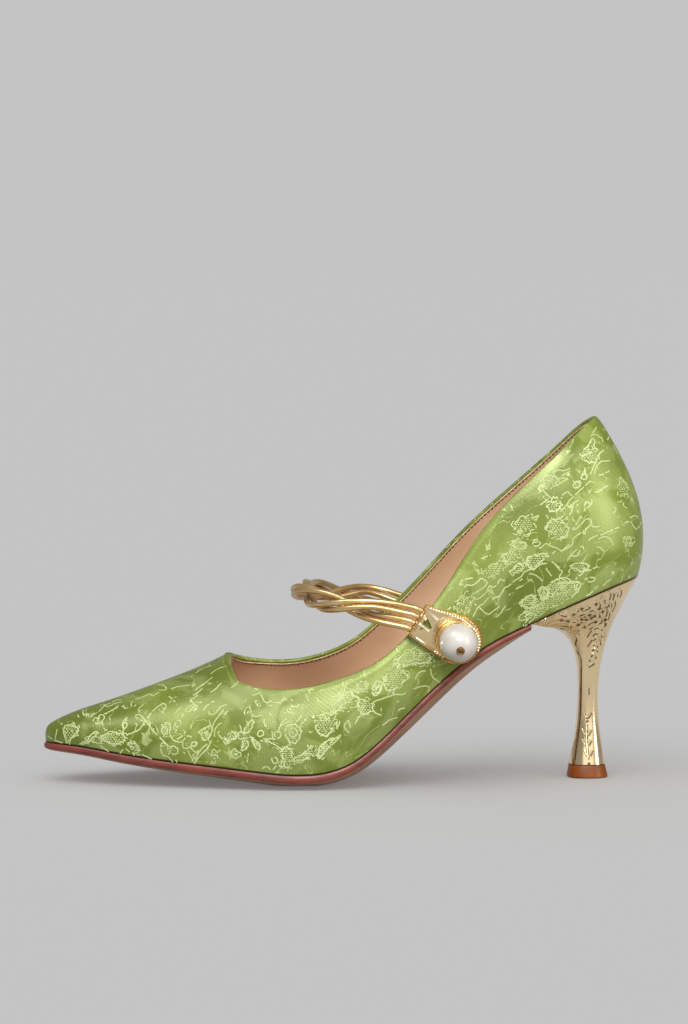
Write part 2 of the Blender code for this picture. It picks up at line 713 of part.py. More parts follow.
def strap_lines(near, far):
    """Points of the four cords: flat rows at the plates, two pairs wound around each other in between."""
    lift = CORD_RADIUS
    (high_a, high_b), (low_a, low_b) = ORNAMENT["bar"]
    bar_lean = (high_a - low_a) / (high_b - low_b)
    near_start, far_start = (frame.at(-stub, 0.0, lift) for frame, stub in zip((near, far), CORD_STUBS))
    run = smooth_run([near_start] + STRAP_ROUTE + [far_start])
    dense = run(np.linspace(0, len(STRAP_ROUTE) + 1, 2000))
    lengths = np.concatenate([[0.0], np.cumsum(np.linalg.norm(np.diff(dense, axis=0), axis=1))])
    dense_shares = lengths / lengths[-1]
    speed = smooth_share(dense_shares, *TWIST_RAMP) * smooth_share(1 - dense_shares, *TWIST_RAMP)
    turned = np.cumsum(speed * np.gradient(dense_shares))
    shares = np.linspace(0, 1, CORD_POINTS)
    centre = np.stack([np.interp(shares, dense_shares, dense[:, i]) for i in range(3)], axis=-1)
    near_open = smooth_share(shares, 0.0, TWIST["row_share"])
    far_open = smooth_share(1 - shares, 0.0, TWIST["row_share"])
    turn_share = np.interp(shares, dense_shares, turned / turned[-1])
    pair_angle = np.radians(TWIST["start"] + TWIST["turn"] * turn_share)
    cord_angle = pair_angle + HALF_TURN * (near_open + 1 - far_open)
    ahead = np.gradient(centre, axis=0)
    outward = unit_rows(np.cross([0.0, 0.0, 1.0], ahead))
    upward = unit_rows(np.cross(ahead, outward))
    upward = unit_rows(upward * np.minimum(near_open, far_open)[:, None]
                       + np.outer(1 - near_open, near.across) - np.outer(1 - far_open, far.across))
    lines = []
    for pair, place in CORDS:
        aside = TWIST["pair_radius"] * np.cos(pair_angle) + place * TWIST["cord_offset"] * np.cos(cord_angle)
        above = TWIST["pair_radius"] * np.sin(pair_angle) + place * TWIST["cord_offset"] * np.sin(cord_angle)
        between = centre + pair * (aside[:, None] * outward + above[:, None] * upward)
        row_place = pair * above[0]
        near_end = near.at(low_a + bar_lean * (row_place - low_b) - GAP, row_place, lift)
        far_end = far.at(-GAP, -pair * above[-1], lift)
        lines.append([near_end, *between, far_end])
    return lines


def make_cord(name, points):
    """Round cord along the points, with flat ends."""
    curve = bpy.data.curves.new(name, "CURVE")
    curve.dimensions = "3D"
    curve.bevel_depth = CORD_RADIUS * MM
    curve.bevel_resolution = 2
    curve.use_fill_caps = True
    line = curve.splines.new("POLY")
    line.points.add(len(points) - 1)
    for spot, point in zip(line.points, points):
        spot.co = (*metres(point), 1.0)
    cord = bpy.data.objects.new(name, curve)
    bpy.context.scene.collection.objects.link(cord)
    curve.materials.append(material("strap"))


def main():
    clear_scene()
    upper = make_upper()
    make_insole()
    make_outsole()
    make_heel_and_lift()
    corners = [vertex.co for vertex in upper.data.vertices]
    wall = BVHTree.FromPolygons(corners, [face.vertices for face in upper.data.polygons])
    near = PlateFrame(wall, ORNAMENT)
    far = PlateFrame(wall, ANCHOR)
    floor = make_ornament(near)
    make_pearl(near, floor)
    make_plate("strap_anchor", far, ANCHOR)
    for number, points in enumerate(strap_lines(near, far), start=1):
        make_cord("strap_strand_%d" % number, points)


main()
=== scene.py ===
import json
import math
import random

import bmesh
import bpy
import numpy as np
from mathutils import Matrix, Vector
from mathutils.bvhtree import BVHTree

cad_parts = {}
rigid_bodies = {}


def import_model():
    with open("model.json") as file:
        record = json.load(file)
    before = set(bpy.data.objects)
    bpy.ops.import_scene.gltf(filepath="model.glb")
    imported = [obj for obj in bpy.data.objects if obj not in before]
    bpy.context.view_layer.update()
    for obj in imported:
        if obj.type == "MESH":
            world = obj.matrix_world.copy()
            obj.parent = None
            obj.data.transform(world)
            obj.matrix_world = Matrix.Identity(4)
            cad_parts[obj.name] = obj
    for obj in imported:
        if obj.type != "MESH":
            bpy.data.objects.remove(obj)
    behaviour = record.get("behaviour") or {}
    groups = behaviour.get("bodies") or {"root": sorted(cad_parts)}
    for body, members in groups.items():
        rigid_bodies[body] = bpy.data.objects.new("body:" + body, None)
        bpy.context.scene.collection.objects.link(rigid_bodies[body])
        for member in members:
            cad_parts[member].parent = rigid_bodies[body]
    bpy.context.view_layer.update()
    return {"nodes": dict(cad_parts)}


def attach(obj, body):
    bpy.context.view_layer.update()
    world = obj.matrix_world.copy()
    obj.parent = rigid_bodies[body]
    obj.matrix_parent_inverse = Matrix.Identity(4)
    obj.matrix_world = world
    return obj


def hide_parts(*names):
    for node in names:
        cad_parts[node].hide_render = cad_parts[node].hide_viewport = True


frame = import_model()
print("frame loaded:", len(frame["nodes"]), "nodes")

quarterTurn = math.pi / 2
mm = 0.001  # metres in a millimetre
weld = 0.000002  # corners closer than this, in metres, are one
tiny = 1e-6

# the last, as in the part: millimetres, x from the toe tip, y minus on the outer side, z up
shoe = dict(length=240.0, ball=72.0, instep=50.0, heel=80.0, gap=0.3, wall=1.8, soleMargin=0.5, insole=1.8,
            breastX=193.6, centre=(120.24, -3.93, 0.0), throatRow=7, swellPower=6, swellPeak=0.238,
            leanPower=4, leanFade=(0.5, 4.0))

# x % length, seat % heel, edge, drop, inset
profileRows = [
    (0.0, 18.8, 2.2, 0.8, 3.0), (5.0, 18.5, 2.4, 1.2, 5.0), (12.5, 15.6, 2.6, 1.7, 8.0),
    (20.8, 12.7, 2.7, 2.2, 10.0), (29.2, 10.3, 2.8, 2.6, 12.0), (35.8, 8.3, 2.8, 3.0, 13.0),
    (40.0, 7.2, 2.8, 3.3, 13.0), (44.2, 7.3, 2.8, 3.3, 13.0), (47.5, 8.9, 2.8, 3.3, 12.0),
    (50.8, 12.6, 2.8, 3.6, 10.5), (54.6, 20.5, 2.9, 4.2, 9.0), (58.8, 31.9, 2.9, 4.8, 8.0),
    (62.9, 43.5, 2.9, 5.0, 7.5), (67.1, 54.6, 2.8, 4.5, 7.0), (71.7, 65.2, 2.6, 3.6, 6.5),
    (76.3, 73.2, 2.2, 2.6, 6.0), (80.8, 79.6, 1.6, 1.2, 5.0), (85.8, 86.7, 1.2, 0.8, 4.0),
    (90.8, 93.2, 1.0, 0.6, 4.0), (95.8, 98.8, 1.0, 0.6, 4.0), (100.0, 102.4, 1.0, 0.6, 4.0)]
# x % length, outer and inner half width % ball, crest x % length, crest z % instep,
# swell of the outer and inner side in mm, arch of the outer and inner side
sectionRows = [
    (0.3, 0.0, 0.0, 4.0, 52.4, 0.4, 0.4, 0.80, 0.80), (1.4, 7.6, 7.6, 4.8, 53.9, 0.6, 0.6, 0.80, 0.80),
    (4.6, 15.6, 16.0, 7.2, 58.0, 0.9, 0.9, 0.88, 0.86),
    (9.6, 23.4, 24.6, 11.4, 64.3, 1.2, 1.2, 0.93, 0.88),
    (15.4, 30.6, 32.7, 16.2, 72.2, 1.4, 1.4, 0.96, 0.88),
    (21.2, 36.8, 38.8, 21.5, 81.5, 1.6, 1.6, 0.98, 0.86),
    (26.1, 41.3, 43.0, 26.2, 90.4, 1.8, 1.8, 1.0, 0.82),
    (30.7, 45.1, 46.4, 30.7, 100.2, 2.0, 2.0, 1.0, 0.80),
    (35.8, 48.6, 49.0, 32.6, 105.2, 2.2, 2.2, 1.0, 0.82),
    (42.1, 50.8, 49.4, 35.4, 114.0, 2.4, 2.6, 1.0, 0.88),
    (48.3, 49.4, 45.3, 39.6, 131.0, 3.2, 4.0, 1.0, 0.95),
    (54.6, 43.6, 37.4, 44.4, 160.0, 4.6, 6.0, 1.0, 1.0),
    (60.8, 36.8, 29.4, 50.0, 198.0, 6.0, 8.0, 1.0, 1.0),
    (67.1, 31.9, 24.8, 55.8, 240.0, 6.6, 9.0, 1.0, 1.0),
    (73.3, 29.6, 24.4, 61.8, 282.0, 6.2, 8.0, 1.0, 1.0),
    (79.6, 29.8, 27.0, 67.8, 316.0, 5.2, 6.0, 1.0, 1.0),
    (85.8, 31.2, 29.8, 73.6, 330.0, 4.2, 4.4, 1.0, 1.0),
    (91.3, 30.4, 29.6, 79.2, 320.0, 3.6, 3.6, 1.02, 1.02),
    (95.8, 24.0, 23.6, 83.4, 313.0, 3.5, 3.5, 1.05, 1.05),
    (98.5, 13.2, 13.0, 85.6, 311.5, 3.5, 3.5, 1.08, 1.08),
    (99.3, 0.0, 0.0, 86.0, 311.0, 3.5, 3.5, 1.09, 1.09)]
# x % length, outer and inner topline % instep
toplineRows = [
    (30.7, 100.2, 100.2), (31.7, 86.8, 97.4), (33.3, 81.2, 94.0), (35.8, 78.4, 91.2), (39.6, 77.6, 89.4),
    (43.8, 80.0, 91.0), (48.3, 85.6, 97.2), (52.9, 93.6, 109.2), (57.5, 108.0, 129.6), (62.1, 130.6, 152.0),
    (66.7, 160.0, 176.0), (71.7, 196.4, 201.0), (76.7, 224.0, 222.8), (81.7, 246.8, 243.8),
    (86.7, 269.0, 266.0), (90.0, 282.6, 282.0), (92.2, 289.8, 289.8)]


def smoothLoop(rows):
    # closed smooth curve through the rows, one row per unit of t
    rows = np.array(rows, dtype=float)
    count = len(rows)
    shift = np.roll(np.eye(count), 1, axis=0)
    knots = np.linalg.solve((4 * np.eye(count) + shift + shift.T) / 6, rows)

    def at(t):
        t = np.asarray(t, dtype=float)
        base = np.floor(t).astype(int)
        f = (t - base)[..., None]
        before, here, after, beyond = (knots[(base + step) % count] for step in (-1, 0, 1, 2))
        return ((1 - f) ** 3 * before + (3 * f ** 3 - 6 * f ** 2 + 4) * here
                + (-3 * f ** 3 + 3 * f ** 2 + 3 * f + 1) * after + f ** 3 * beyond) / 6

    return at


def smoothRun(rows):
    rows = [tuple(row) for row in rows]
    return smoothLoop(rows + rows[-2:0:-1])


def smoothPoints(rows, perRow):
    return smoothRun(rows)(np.linspace(0, len(rows) - 1, perRow * len(rows)))


def tableOverX(rows, units):
    dense = smoothRun(np.array(rows) * units)(np.linspace(0, len(rows) - 1, 600))
    return lambda column, x: np.interp(x, dense[:, 0], dense[:, column])


measures = ("length", "ball", "instep", "heel")
lengthUnit, ballUnit, instepUnit, heelUnit = (shoe[measure] / 100 for measure in measures)
profile = tableOverX(profileRows, (lengthUnit, heelUnit, 1, 1, 1))
topline = tableOverX(toplineRows, (lengthUnit, instepUnit, instepUnit))
ridge = tableOverX([row[3:5] for row in sectionRows], (lengthUnit, instepUnit))
throatX = toplineRows[0][0] * lengthUnit
backT = len(sectionRows) - 1
loopT = 2 * backT


def sideRows(side, width, swell, arch):
    # rows of one side: foot x and y, crest x and z, swell, arch
    return [(row[0] * lengthUnit, side * row[width] * ballUnit, row[3] * lengthUnit, row[4] * instepUnit,
             row[swell], row[arch]) for row in sectionRows]


section = smoothLoop(sideRows(-1, 1, 5, 7) + sideRows(1, 2, 6, 8)[-2:0:-1])


def unit(vectors):
    return vectors / np.linalg.norm(vectors, axis=-1, keepdims=True)


def runLengths(points):
    return np.concatenate([[0.0], np.cumsum(np.linalg.norm(np.diff(points, axis=0), axis=1))])


def evenly(points, pitch):
    run = runLengths(points)
    at = np.linspace(0, run[-1], max(2, int(run[-1] / pitch) + 1))
    return np.column_stack([np.interp(at, run, points[:, i]) for i in range(points.shape[1])])


def smoothShare(value, start, end):
    share = np.clip((value - start) / (end - start), 0, 1)
    return share * share * (3 - 2 * share)


def seat(x):
    return profile(1, x)


def feather(t):
    # line where upper and sole meet, in plan, and its outward direction
    run = section(t + 0.01)[..., :2] - section(t - 0.01)[..., :2]
    return section(t)[..., :2], unit(np.stack([run[..., 1], -run[..., 0]], axis=-1))


def inset(t, amount):
    foot, outward = feather(t)
    return foot - outward * np.reshape(amount, (-1, 1))


def lastPoint(t, angle):
    # point of the last: t around the feather line, angle from that line up to the crest
    row = section(t)
    foot, outward = feather(t)
    crestX, crestZ, swellSize, arch = (row[..., i] for i in (2, 3, 4, 5))
    across = np.cos(angle) ** arch
    rise = np.sin(angle) ** arch
    swell = swellSize * np.sin(angle) * np.cos(angle) ** shoe["swellPower"] / shoe["swellPeak"]
    x = crestX + (foot[..., 0] - crestX) * across + outward[..., 0] * swell
    y = foot[..., 1] * across + outward[..., 1] * swell
    base = seat(foot[..., 0]) + shoe["gap"]
    slope = ridge(1, crestX + 1.0) - ridge(1, crestX)
    fadeStart, fadeEnd = (shoe["throatRow"] + rows for rows in shoe["leanFade"])
    fade = 1 - smoothShare(np.minimum(t, loopT - t), fadeStart, fadeEnd)
    lean = slope * fade * (x - crestX) * rise ** shoe["leanPower"]
    return np.stack([x, y, base + (crestZ - base) * rise + lean], axis=-1)


def lastNormal(t, angle):
    step = 0.004
    low, high = np.clip(angle - step, 0, quarterTurn), np.clip(angle + step, 0, quarterTurn)
    along = lastPoint(t + step, angle) - lastPoint(t - step, angle)
    return unit(np.cross(along, lastPoint(t, high) - lastPoint(t, low)))


def coverAngle(t):
    # angle at which the upper ends: the crest in front of the throat, the topline behind it
    if min(t, loopT - t) <= shoe["throatRow"]:
        return quarterTurn
    angles = np.linspace(0, quarterTurn, 400)[:-1]
    points = lastPoint(np.full(angles.shape, t), angles)
    above = points[:, 2] - topline(1 if t < backT else 2, points[:, 0])
    above[points[:, 0] < throatX] = -1.0
    first = int(np.argmax(above > 0))
    share = above[first] / (above[first] - above[first - 1])
    return angles[first] - share * (angles[first] - angles[first - 1])


denseT = np.linspace(0, loopT, 4000)
densePlan = section(denseT)[:, :2]
denseRun = runLengths(densePlan)


def featherRun(t):
    return np.interp(t, denseT, denseRun)


def stationAtX(x):
    half = len(denseT) // 2
    return float(np.interp(x, densePlan[:half, 0], denseT[:half]))


def metres(points):
    return (np.asarray(points, dtype=float) - shoe["centre"]) * mm


def addToScene(name, data):
    made = bpy.data.objects.new(name, data)
    bpy.context.scene.collection.objects.link(made)
    return made


def toObject(name, bm, finishes, sharpFrom=None, replaced=()):
    mesh = bpy.data.meshes.new(name)
    bm.to_mesh(mesh)
    bm.free()
    mesh.shade_smooth()
    if sharpFrom is not None:
        mesh.set_sharp_from_angle(angle=math.radians(sharpFrom))
    for finish in finishes:
        mesh.materials.append(finish)
    made = addToScene(name, mesh)
    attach(made, "root")
    if replaced:
        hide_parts(*replaced)
    print("piece", name, len(mesh.polygons), "faces")


def addGrid(bm, columns, rows, place, finish=0, weaveLayer=None):
    # grid whose corners move to place(u, w); with a weave layer, place also gives weave coordinates in mm
    made = bmesh.ops.create_grid(bm, x_segments=columns, y_segments=rows, size=1.0)["verts"]
    shares = np.array([v.co[:2] for v in made]) / 2 + 0.5
    placed = place(shares[:, 0], shares[:, 1])
    points, weave = (placed, None) if weaveLayer is None else placed
    where = {v: i for i, v in enumerate(made)}
    for face in {face for v in made for face in v.link_faces}:
        face.material_index = finish
        if weaveLayer is not None:
            for corner in face.loops:
                corner[weaveLayer].uv = weave[where[corner.vert]]
    for v, point in zip(made, metres(points)):
        v.co = point
    return made


def capAcross(form, reach, row):
    # surface between the two sides of a form at one of its rows, from the toe to a reach
    def place(u, w):
        level = np.full(len(u), row)
        near, far = form(reach * u, level), form(-reach * u, level)
        return near + (far - near) * w[:, None]
    return place


def addTube(bm, points, radius, sides, closed=False):
    # round tube along points in mm, its frame carried along without twist
    points = np.asarray(points, dtype=float)
    count = len(points)
    around = np.roll(points, -1, axis=0) - np.roll(points, 1, axis=0)
    run = unit(around if closed else np.gradient(points, axis=0))
    first = np.cross(run[0], (0.0, 0.0, 1.0))
    if np.linalg.norm(first) < 0.1:
        first = np.cross(run[0], (1.0, 0.0, 0.0))
    aside = [unit(first)]
    for k in range(1, count):
        aside.append(unit(aside[-1] - run[k] * np.dot(aside[-1], run[k])))
    aside = np.array(aside)
    over = np.cross(run, aside)
    reach = np.broadcast_to(np.asarray(radius, dtype=float), (count,))
    columns = count if closed else count - 1

    def place(u, w):
        i = np.rint(u * columns).astype(int) % count
        turn = 2 * math.pi * np.rint(w * sides)[:, None] / sides
        return points[i] + reach[i][:, None] * (aside[i] * np.cos(turn) + over[i] * np.sin(turn))

    made = addGrid(bm, columns, sides, place)
    edges = {edge for v in made for edge in v.link_edges}
    bmesh.ops.remove_doubles(bm, verts=made, dist=0.0000015)
    if not closed:
        rims = [edge for edge in edges if edge.is_valid and edge.is_boundary]
        bmesh.ops.holes_fill(bm, edges=rims, sides=0)


def closeUp(bm):
    bmesh.ops.remove_doubles(bm, verts=bm.verts, dist=weld)
    bmesh.ops.recalc_face_normals(bm, faces=bm.faces)


def fillHoles(bm):
    bmesh.ops.holes_fill(bm, edges=[edge for edge in bm.edges if edge.is_boundary], sides=0)
    bmesh.ops.recalc_face_normals(bm, faces=bm.faces)


class Signal:
    # a socket's value, with the operators that shader maths needs
    def __init__(self, finish, socket):
        self.finish = finish
        self.socket = socket

    def math(self, operation, *values):
        return self.finish.node("ShaderNodeMath", {"operation": operation}, dict(enumerate(values)))

    def __add__(self, other):
        return self.math("ADD", self, other)

    def __radd__(self, other):
        return self.math("ADD", other, self)

    def __sub__(self, other):
        return self.math("SUBTRACT", self, other)

    def __rsub__(self, other):
        return self.math("SUBTRACT", other, self)

    def __mul__(self, other):
        return self.math("MULTIPLY", self, other)

    def __rmul__(self, other):
        return self.math("MULTIPLY", other, self)

    def __abs__(self):
        return self.math("ABSOLUTE", self)

    def sine(self):
        return self.math("SINE", self)

    def between(self, low, high):
        return self.finish.node("ShaderNodeMapRange", {"interpolation_type": "SMOOTHSTEP"},
                                {"Value": self, "From Min": low, "From Max": high})


class Finish:
    def __init__(self, name, **fixed):
        self.material = bpy.data.materials.new(name)
        self.material.use_nodes = True
        self.tree = self.material.node_tree
        self.shader = self.tree.nodes["Principled BSDF"]
        self.feed(**fixed)

    @staticmethod
    def label(key):
        return "".join(" " + c if c.isupper() else c for c in key).strip().title().replace("Ior", "IOR")

    def plug(self, value, socket):
        if isinstance(value, Signal):
            self.tree.links.new(value.socket, socket)
        else:
            socket.default_value = value

    def node(self, kind, settings, sockets, output=0):
        made = self.tree.nodes.new(kind)
        for key, value in settings.items():
            setattr(made, key, value)
        for key, value in sockets.items():
            self.plug(value, made.inputs[key])
        return Signal(self, made.outputs[output])

    def place(self):
        return self.node("ShaderNodeTexCoord", {}, {}, output=3)

    def weave(self):
        return self.node("ShaderNodeUVMap", {"uv_map": "weave"}, {})

    def scaled(self, vector, size):
        return self.node("ShaderNodeVectorMath", {"operation": "MULTIPLY"}, {0: vector, 1: size})

    def axes(self, vector):
        split = self.node("ShaderNodeSeparateXYZ", {}, {0: vector}).socket.node
        return [Signal(self, socket) for socket in split.outputs]

    def noise(self, vector, scale, detail=2.0, roughness=0.5, distortion=0.0):
        sockets = {"Vector": vector, "Scale": scale, "Detail": detail, "Roughness": roughness,
                   "Distortion": distortion}
        return self.node("ShaderNodeTexNoise", {}, sockets)

    def cells(self, vector, scale):
        return self.node("ShaderNodeTexVoronoi", {"feature": "F1"}, {"Vector": vector, "Scale": scale})

    def mix(self, share, low, high):
        return self.node("ShaderNodeMix", {"data_type": "RGBA"}, {0: share, 6: low, 7: high}, output=2)

    def bump(self, height, strength, distance):
        sockets = {"Height": height, "Strength": strength, "Distance": distance}
        return self.node("ShaderNodeBump", {}, sockets)

    def feed(self, **links):
        for key, value in links.items():
            self.plug(value, self.shader.inputs[self.label(key)])
        return self.material

    def grained(self, scale, strength, distance):
        return self.feed(normal=self.bump(self.noise(self.place(), scale), strength, distance))


def rgb(r, g, b):
    return (r, g, b, 1.0)


def grey(level):
    return rgb(level, level, level)


def mottled(name, tones, scale, rough, detail=2.0, coarse=0.5, spread=(0.3, 0.7), stretch=None, **fixed):
    # two tones in soft clouds; rough is the roughness of the first and what the second adds to it
    f = Finish(name, **fixed)
    place = f.scaled(f.place(), stretch) if stretch else f.place()
    tone = f.noise(place, scale, detail, coarse).between(*spread)
    base, added = rough
    roughness = base + tone * added if added else base
    f.feed(baseColor=f.mix(tone, *tones), roughness=roughness)
    return f


# brocade cloth: satin ground, paler twill patches, woven ghost vines and painted shade, near-black, along
# the foot of the upper where it meets the sole; pitch and height in mm
cloth = dict(ground=rgb(0.170, 0.220, 0.022), deep=rgb(0.115, 0.152, 0.013), twill=rgb(0.46, 0.53, 0.19),
             line=rgb(0.52, 0.59, 0.25), hem=rgb(0.025, 0.028, 0.009), sheen=rgb(0.85, 0.95, 0.55),
             twillPitch=1.7, featherShadeHeight=0.55, patchScale=0.055, shadeScale=0.022, vineScale=0.085,
             gapScale=0.30, vineWidth=(0.004, 0.014))
thread = dict(tones=(rgb(0.38, 0.44, 0.18), rgb(0.50, 0.56, 0.28)), sheen=rgb(0.95, 1.0, 0.75))
lining = dict(tones=(rgb(0.55, 0.345, 0.205), rgb(0.64, 0.43, 0.265)))


def clothFinish():
    f = Finish("greenBrocade", metallic=0.24, specularIorLevel=0.6, sheenWeight=0.05, sheenRoughness=0.4,
               sheenTint=cloth["sheen"])
    weave = f.weave()
    u, v, _ = f.axes(weave)
    turn = 2 * math.pi / cloth["twillPitch"]
    twill = ((u + v * 0.8) * turn).sine() * 0.5 + 0.5
    net = (((u * 0.9 - v) * turn).sine() * ((u + v * 0.9) * turn).sine() * 0.5 + 0.5).between(0.45, 0.95)
    patch = f.noise(weave, cloth["patchScale"], 3.0, 0.55, 1.2).between(0.44, 0.60)
    shade = f.noise(weave, cloth["shadeScale"]).between(0.35, 0.65)
    vine = abs(f.noise(weave, cloth["vineScale"], 2.5, 0.5, 0.9) - 0.5)
    gaps = f.noise(weave, cloth["gapScale"]).between(0.42, 0.55)
    line = (1 - vine.between(*cloth["vineWidth"])) * gaps
    ground = f.mix(shade, cloth["deep"], cloth["ground"])
    patched = f.mix(net * (0.02 + patch * 0.15) + patch * 0.20, ground, cloth["twill"])
    lined = f.mix(line * 0.60, patched, cloth["line"])
    # painted shade: the cloth's lowest fraction of a millimetre, where it meets the sole, turns near-black
    hem = v.between(cloth["featherShadeHeight"] * 0.6, cloth["featherShadeHeight"] * 1.3)
    height = twill * 0.15 + net * (0.04 + patch * 0.22) + line * 1.2
    return f.feed(baseColor=f.mix(hem, cloth["hem"], lined), roughness=0.33 + patch * 0.07 - line * 0.04,
                  normal=f.bump(height, 0.35, 0.00012))


def threadFinish():
    f = mottled("paleFloats", thread["tones"], 140.0, (0.52, 0.08), specularIorLevel=0.2, sheenWeight=0.1,
                sheenRoughness=0.4, sheenTint=thread["sheen"])
    rib = f.noise(f.scaled(f.place(), (1.0, 1.0, 2.2)), 1500.0, 1.0)
    return f.feed(normal=f.bump(rib, 0.3, 0.0001))


def liningFinish():
    f = mottled("nudeLining", lining["tones"], 26.0, (0.46, 0.1), detail=3.0, sheenWeight=0.1,
                sheenRoughness=0.5)
    place = f.place()
    height = f.cells(place, 900.0) * 0.6 + f.noise(place, 1500.0) * 0.4
    return f.feed(normal=f.bump(height, 0.18, 0.0002))


clothLook, threadLook, liningLook = clothFinish(), threadFinish(), liningFinish()

# upper: rows across the girth, soft edge roll and turned-in fold in mm, where the lining and the roll lie in
# the weave, and soft creases on both sides as x, z, reach along, reach up and depth
upper = dict(stationsPerRow=12, throatStations=50, throatRows=2.0, girth=44, innerGirth=24, roll=8,
             rollHeight=0.42, fold=0.55, foldRows=2, throatFold=1.9, throatReach=9.0, rollLift=0.45,
             rollShare=0.09, rollRun=40.0, edgeShare=0.05, liningWeave=(30, 60), rollWeave=(70, 2),
             creases=[(118.0, 22.0, 9.0, 3.0, -0.35), (131.0, 31.0, 7.0, 2.6, -0.40),
                      (126.0, 24.0, 6.0, 2.2, 0.30), (150.0, 47.0, 8.0, 2.4, -0.35),
                      (222.0, 86.0, 10.0, 3.0, -0.40), (228.0, 92.0, 8.0, 2.6, 0.30),
                      (90.0, 18.0, 14.0, 3.2, -0.25), (30.0, 22.0, 9.0, 2.6, -0.2)])


def upperStations():
    # even stations around the feather line, closer together just behind the throat
    row, rows = shoe["throatRow"], upper["throatRows"]
    half = np.linspace(0, backT, backT * upper["stationsPerRow"] + 1)
    near = row + rows * np.linspace(0, 1, upper["throatStations"]) ** 2
    half = np.concatenate([half[half < row], near, half[half > row + rows]])
    return np.concatenate([half, loopT - half[-2::-1]])


stations = upperStations()
covers = np.array([coverAngle(t) for t in stations])
stationShare = np.linspace(0, 1, len(stations))


def stationAt(u):
    return np.interp(u, stationShare, stations), np.interp(u, stationShare, covers)


def creased(points, normals, share):
    x, z = points[:, 0], points[:, 2]
    behind = smoothShare(x, throatX, throatX + upper["rollRun"])
    lift = upper["rollLift"] * np.exp(-((1 - share) / upper["rollShare"]) ** 2) * behind
    for creaseX, creaseZ, reachX, reachZ, depth in upper["creases"]:
        lift = lift + depth * np.exp(-((x - creaseX) / reachX) ** 2 - ((z - creaseZ) / reachZ) ** 2)
    free = 1 - np.exp(-((1 - share) / upper["edgeShare"]) ** 2)
    return points + normals * (lift * free)[:, None]


def outerSkin(u, w):
    t, cover = stationAt(u)
    angle = cover * w
    points = creased(lastPoint(t, angle), lastNormal(t, angle), w)
    arcs = 8
    girth = np.zeros(len(t))
    for k in range(1, arcs + 1):
        arc = lastPoint(t, angle * (k / arcs)) - lastPoint(t, angle * ((k - 1) / arcs))
        girth += np.linalg.norm(arc, axis=1)
    return points, np.column_stack([featherRun(t), girth])


def depthAngle(t, cover, depth):
    # angle of the girth that lies a depth in mm below the topline
    reach = 0.03
    return cover - depth * reach / np.linalg.norm(lastPoint(t, cover) - lastPoint(t, cover - reach), axis=1)


def foldDepth(t, cover):
    # the turned-in cloth is deepest behind the throat
    past = (lastPoint(t, cover)[:, 0] - throatX) / upper["throatReach"]
    return upper["fold"] + upper["throatFold"] * np.exp(-past ** 2)


def innerWall(t, angle):
    points = lastPoint(t, angle) - shoe["wall"] * lastNormal(t, angle)
    points[angle > quarterTurn - tiny, 1] = 0.0
    return points


def innerSkin(u, w):
    t, cover = stationAt(u)
    folded = upper["foldRows"] / upper["innerGirth"]
    foldEnd = depthAngle(t, cover, foldDepth(t, cover))
    angle = np.where(w < folded, cover + (foldEnd - cover) * w / folded, foldEnd * (1 - w) / (1 - folded))
    points = innerWall(t, angle)
    low = w >= 1.0 - tiny
    points[low, 2] = seat(points[low, 0]) + shoe["gap"]
    start, span = upper["liningWeave"]
    return points, np.column_stack([featherRun(t), start + span * w])


def edgeRoll(first, last):
    def place(u, w):
        t, cover = stationAt(stationShare[first] + (stationShare[last] - stationShare[first]) * u)
        out = lastPoint(t, cover)
        middle = (out + innerWall(t, cover)) / 2
        up = unit(out - lastPoint(t, cover - 0.02)) * (shoe["wall"] * upper["rollHeight"])
        turn = (math.pi * w)[:, None]
        points = middle + (out - middle) * np.cos(turn) + up * np.sin(turn)
        start, span = upper["rollWeave"]
        return points, np.column_stack([featherRun(t), start + span * w])
    return place


def bottomRing(u, w):
    low, _ = outerSkin(u, np.zeros(len(u)))
    inside, _ = innerSkin(u, np.ones(len(u)))
    return inside + (low - inside) * w[:, None], np.column_stack([u, w])


def makeUpper():
    bm = bmesh.new()
    layer = bm.loops.layers.uv.new("weave")
    columns = len(stations) - 1
    addGrid(bm, columns, upper["girth"], outerSkin, 0, layer)
    bm.normal_update()
    bmesh.ops.recalc_face_normals(bm, faces=bm.faces)
    skin = BVHTree.FromBMesh(bm)
    inner = addGrid(bm, columns, upper["innerGirth"], innerSkin, 1, layer)
    first = int(np.argmax(stations >= shoe["throatRow"] - tiny))
    last = columns - first
    start, span = upper["liningWeave"]
    foldEnd = start + span * upper["foldRows"] / upper["innerGirth"]
    throatRun = featherRun(stations[first])
    for face in {face for v in inner for face in v.link_faces}:  # cloth on the turned-in fold
        along, depth = np.mean([corner[layer].uv for corner in face.loops], axis=0)
        if depth < foldEnd and throatRun < along < denseRun[-1] - throatRun:
            face.material_index = 0
    addGrid(bm, last - first, upper["roll"], edgeRoll(first, last), 0, layer)
    addGrid(bm, columns, 1, bottomRing, 1, layer)
    closeUp(bm)
    toObject("upperShell", bm, [clothLook, liningLook], replaced=["upper"])
    return skin


outerTree = makeUpper()

# camera of the photo: target and place in shoe millimetres, focal length in pixels of the 688 x 1024 frame
photo = dict(width=688, height=1024, focal=3750.0, eye=(54.95, -1494.92, 211.64),
             target=(120.22, 0.0, 107.0))


def makeCamera():
    data = bpy.data.cameras.new("photoCamera")
    data.sensor_width = 36.0
    data.lens = photo["focal"] / photo["height"] * data.sensor_width
    data.clip_end = 100.0
    camera = addToScene("photoCamera", data)
    eye, target = Vector(metres(photo["eye"])), Vector(metres(photo["target"]))
    camera.location = eye
    camera.rotation_euler = (target - eye).to_track_quat("-Z", "Y").to_euler()
    bpy.context.scene.camera = camera
    ahead = (target - eye).normalized()
    right = ahead.cross(Vector((0, 0, 1))).normalized()
    return eye, ahead, right, right.cross(ahead)


eye, ahead, right, upward = makeCamera()


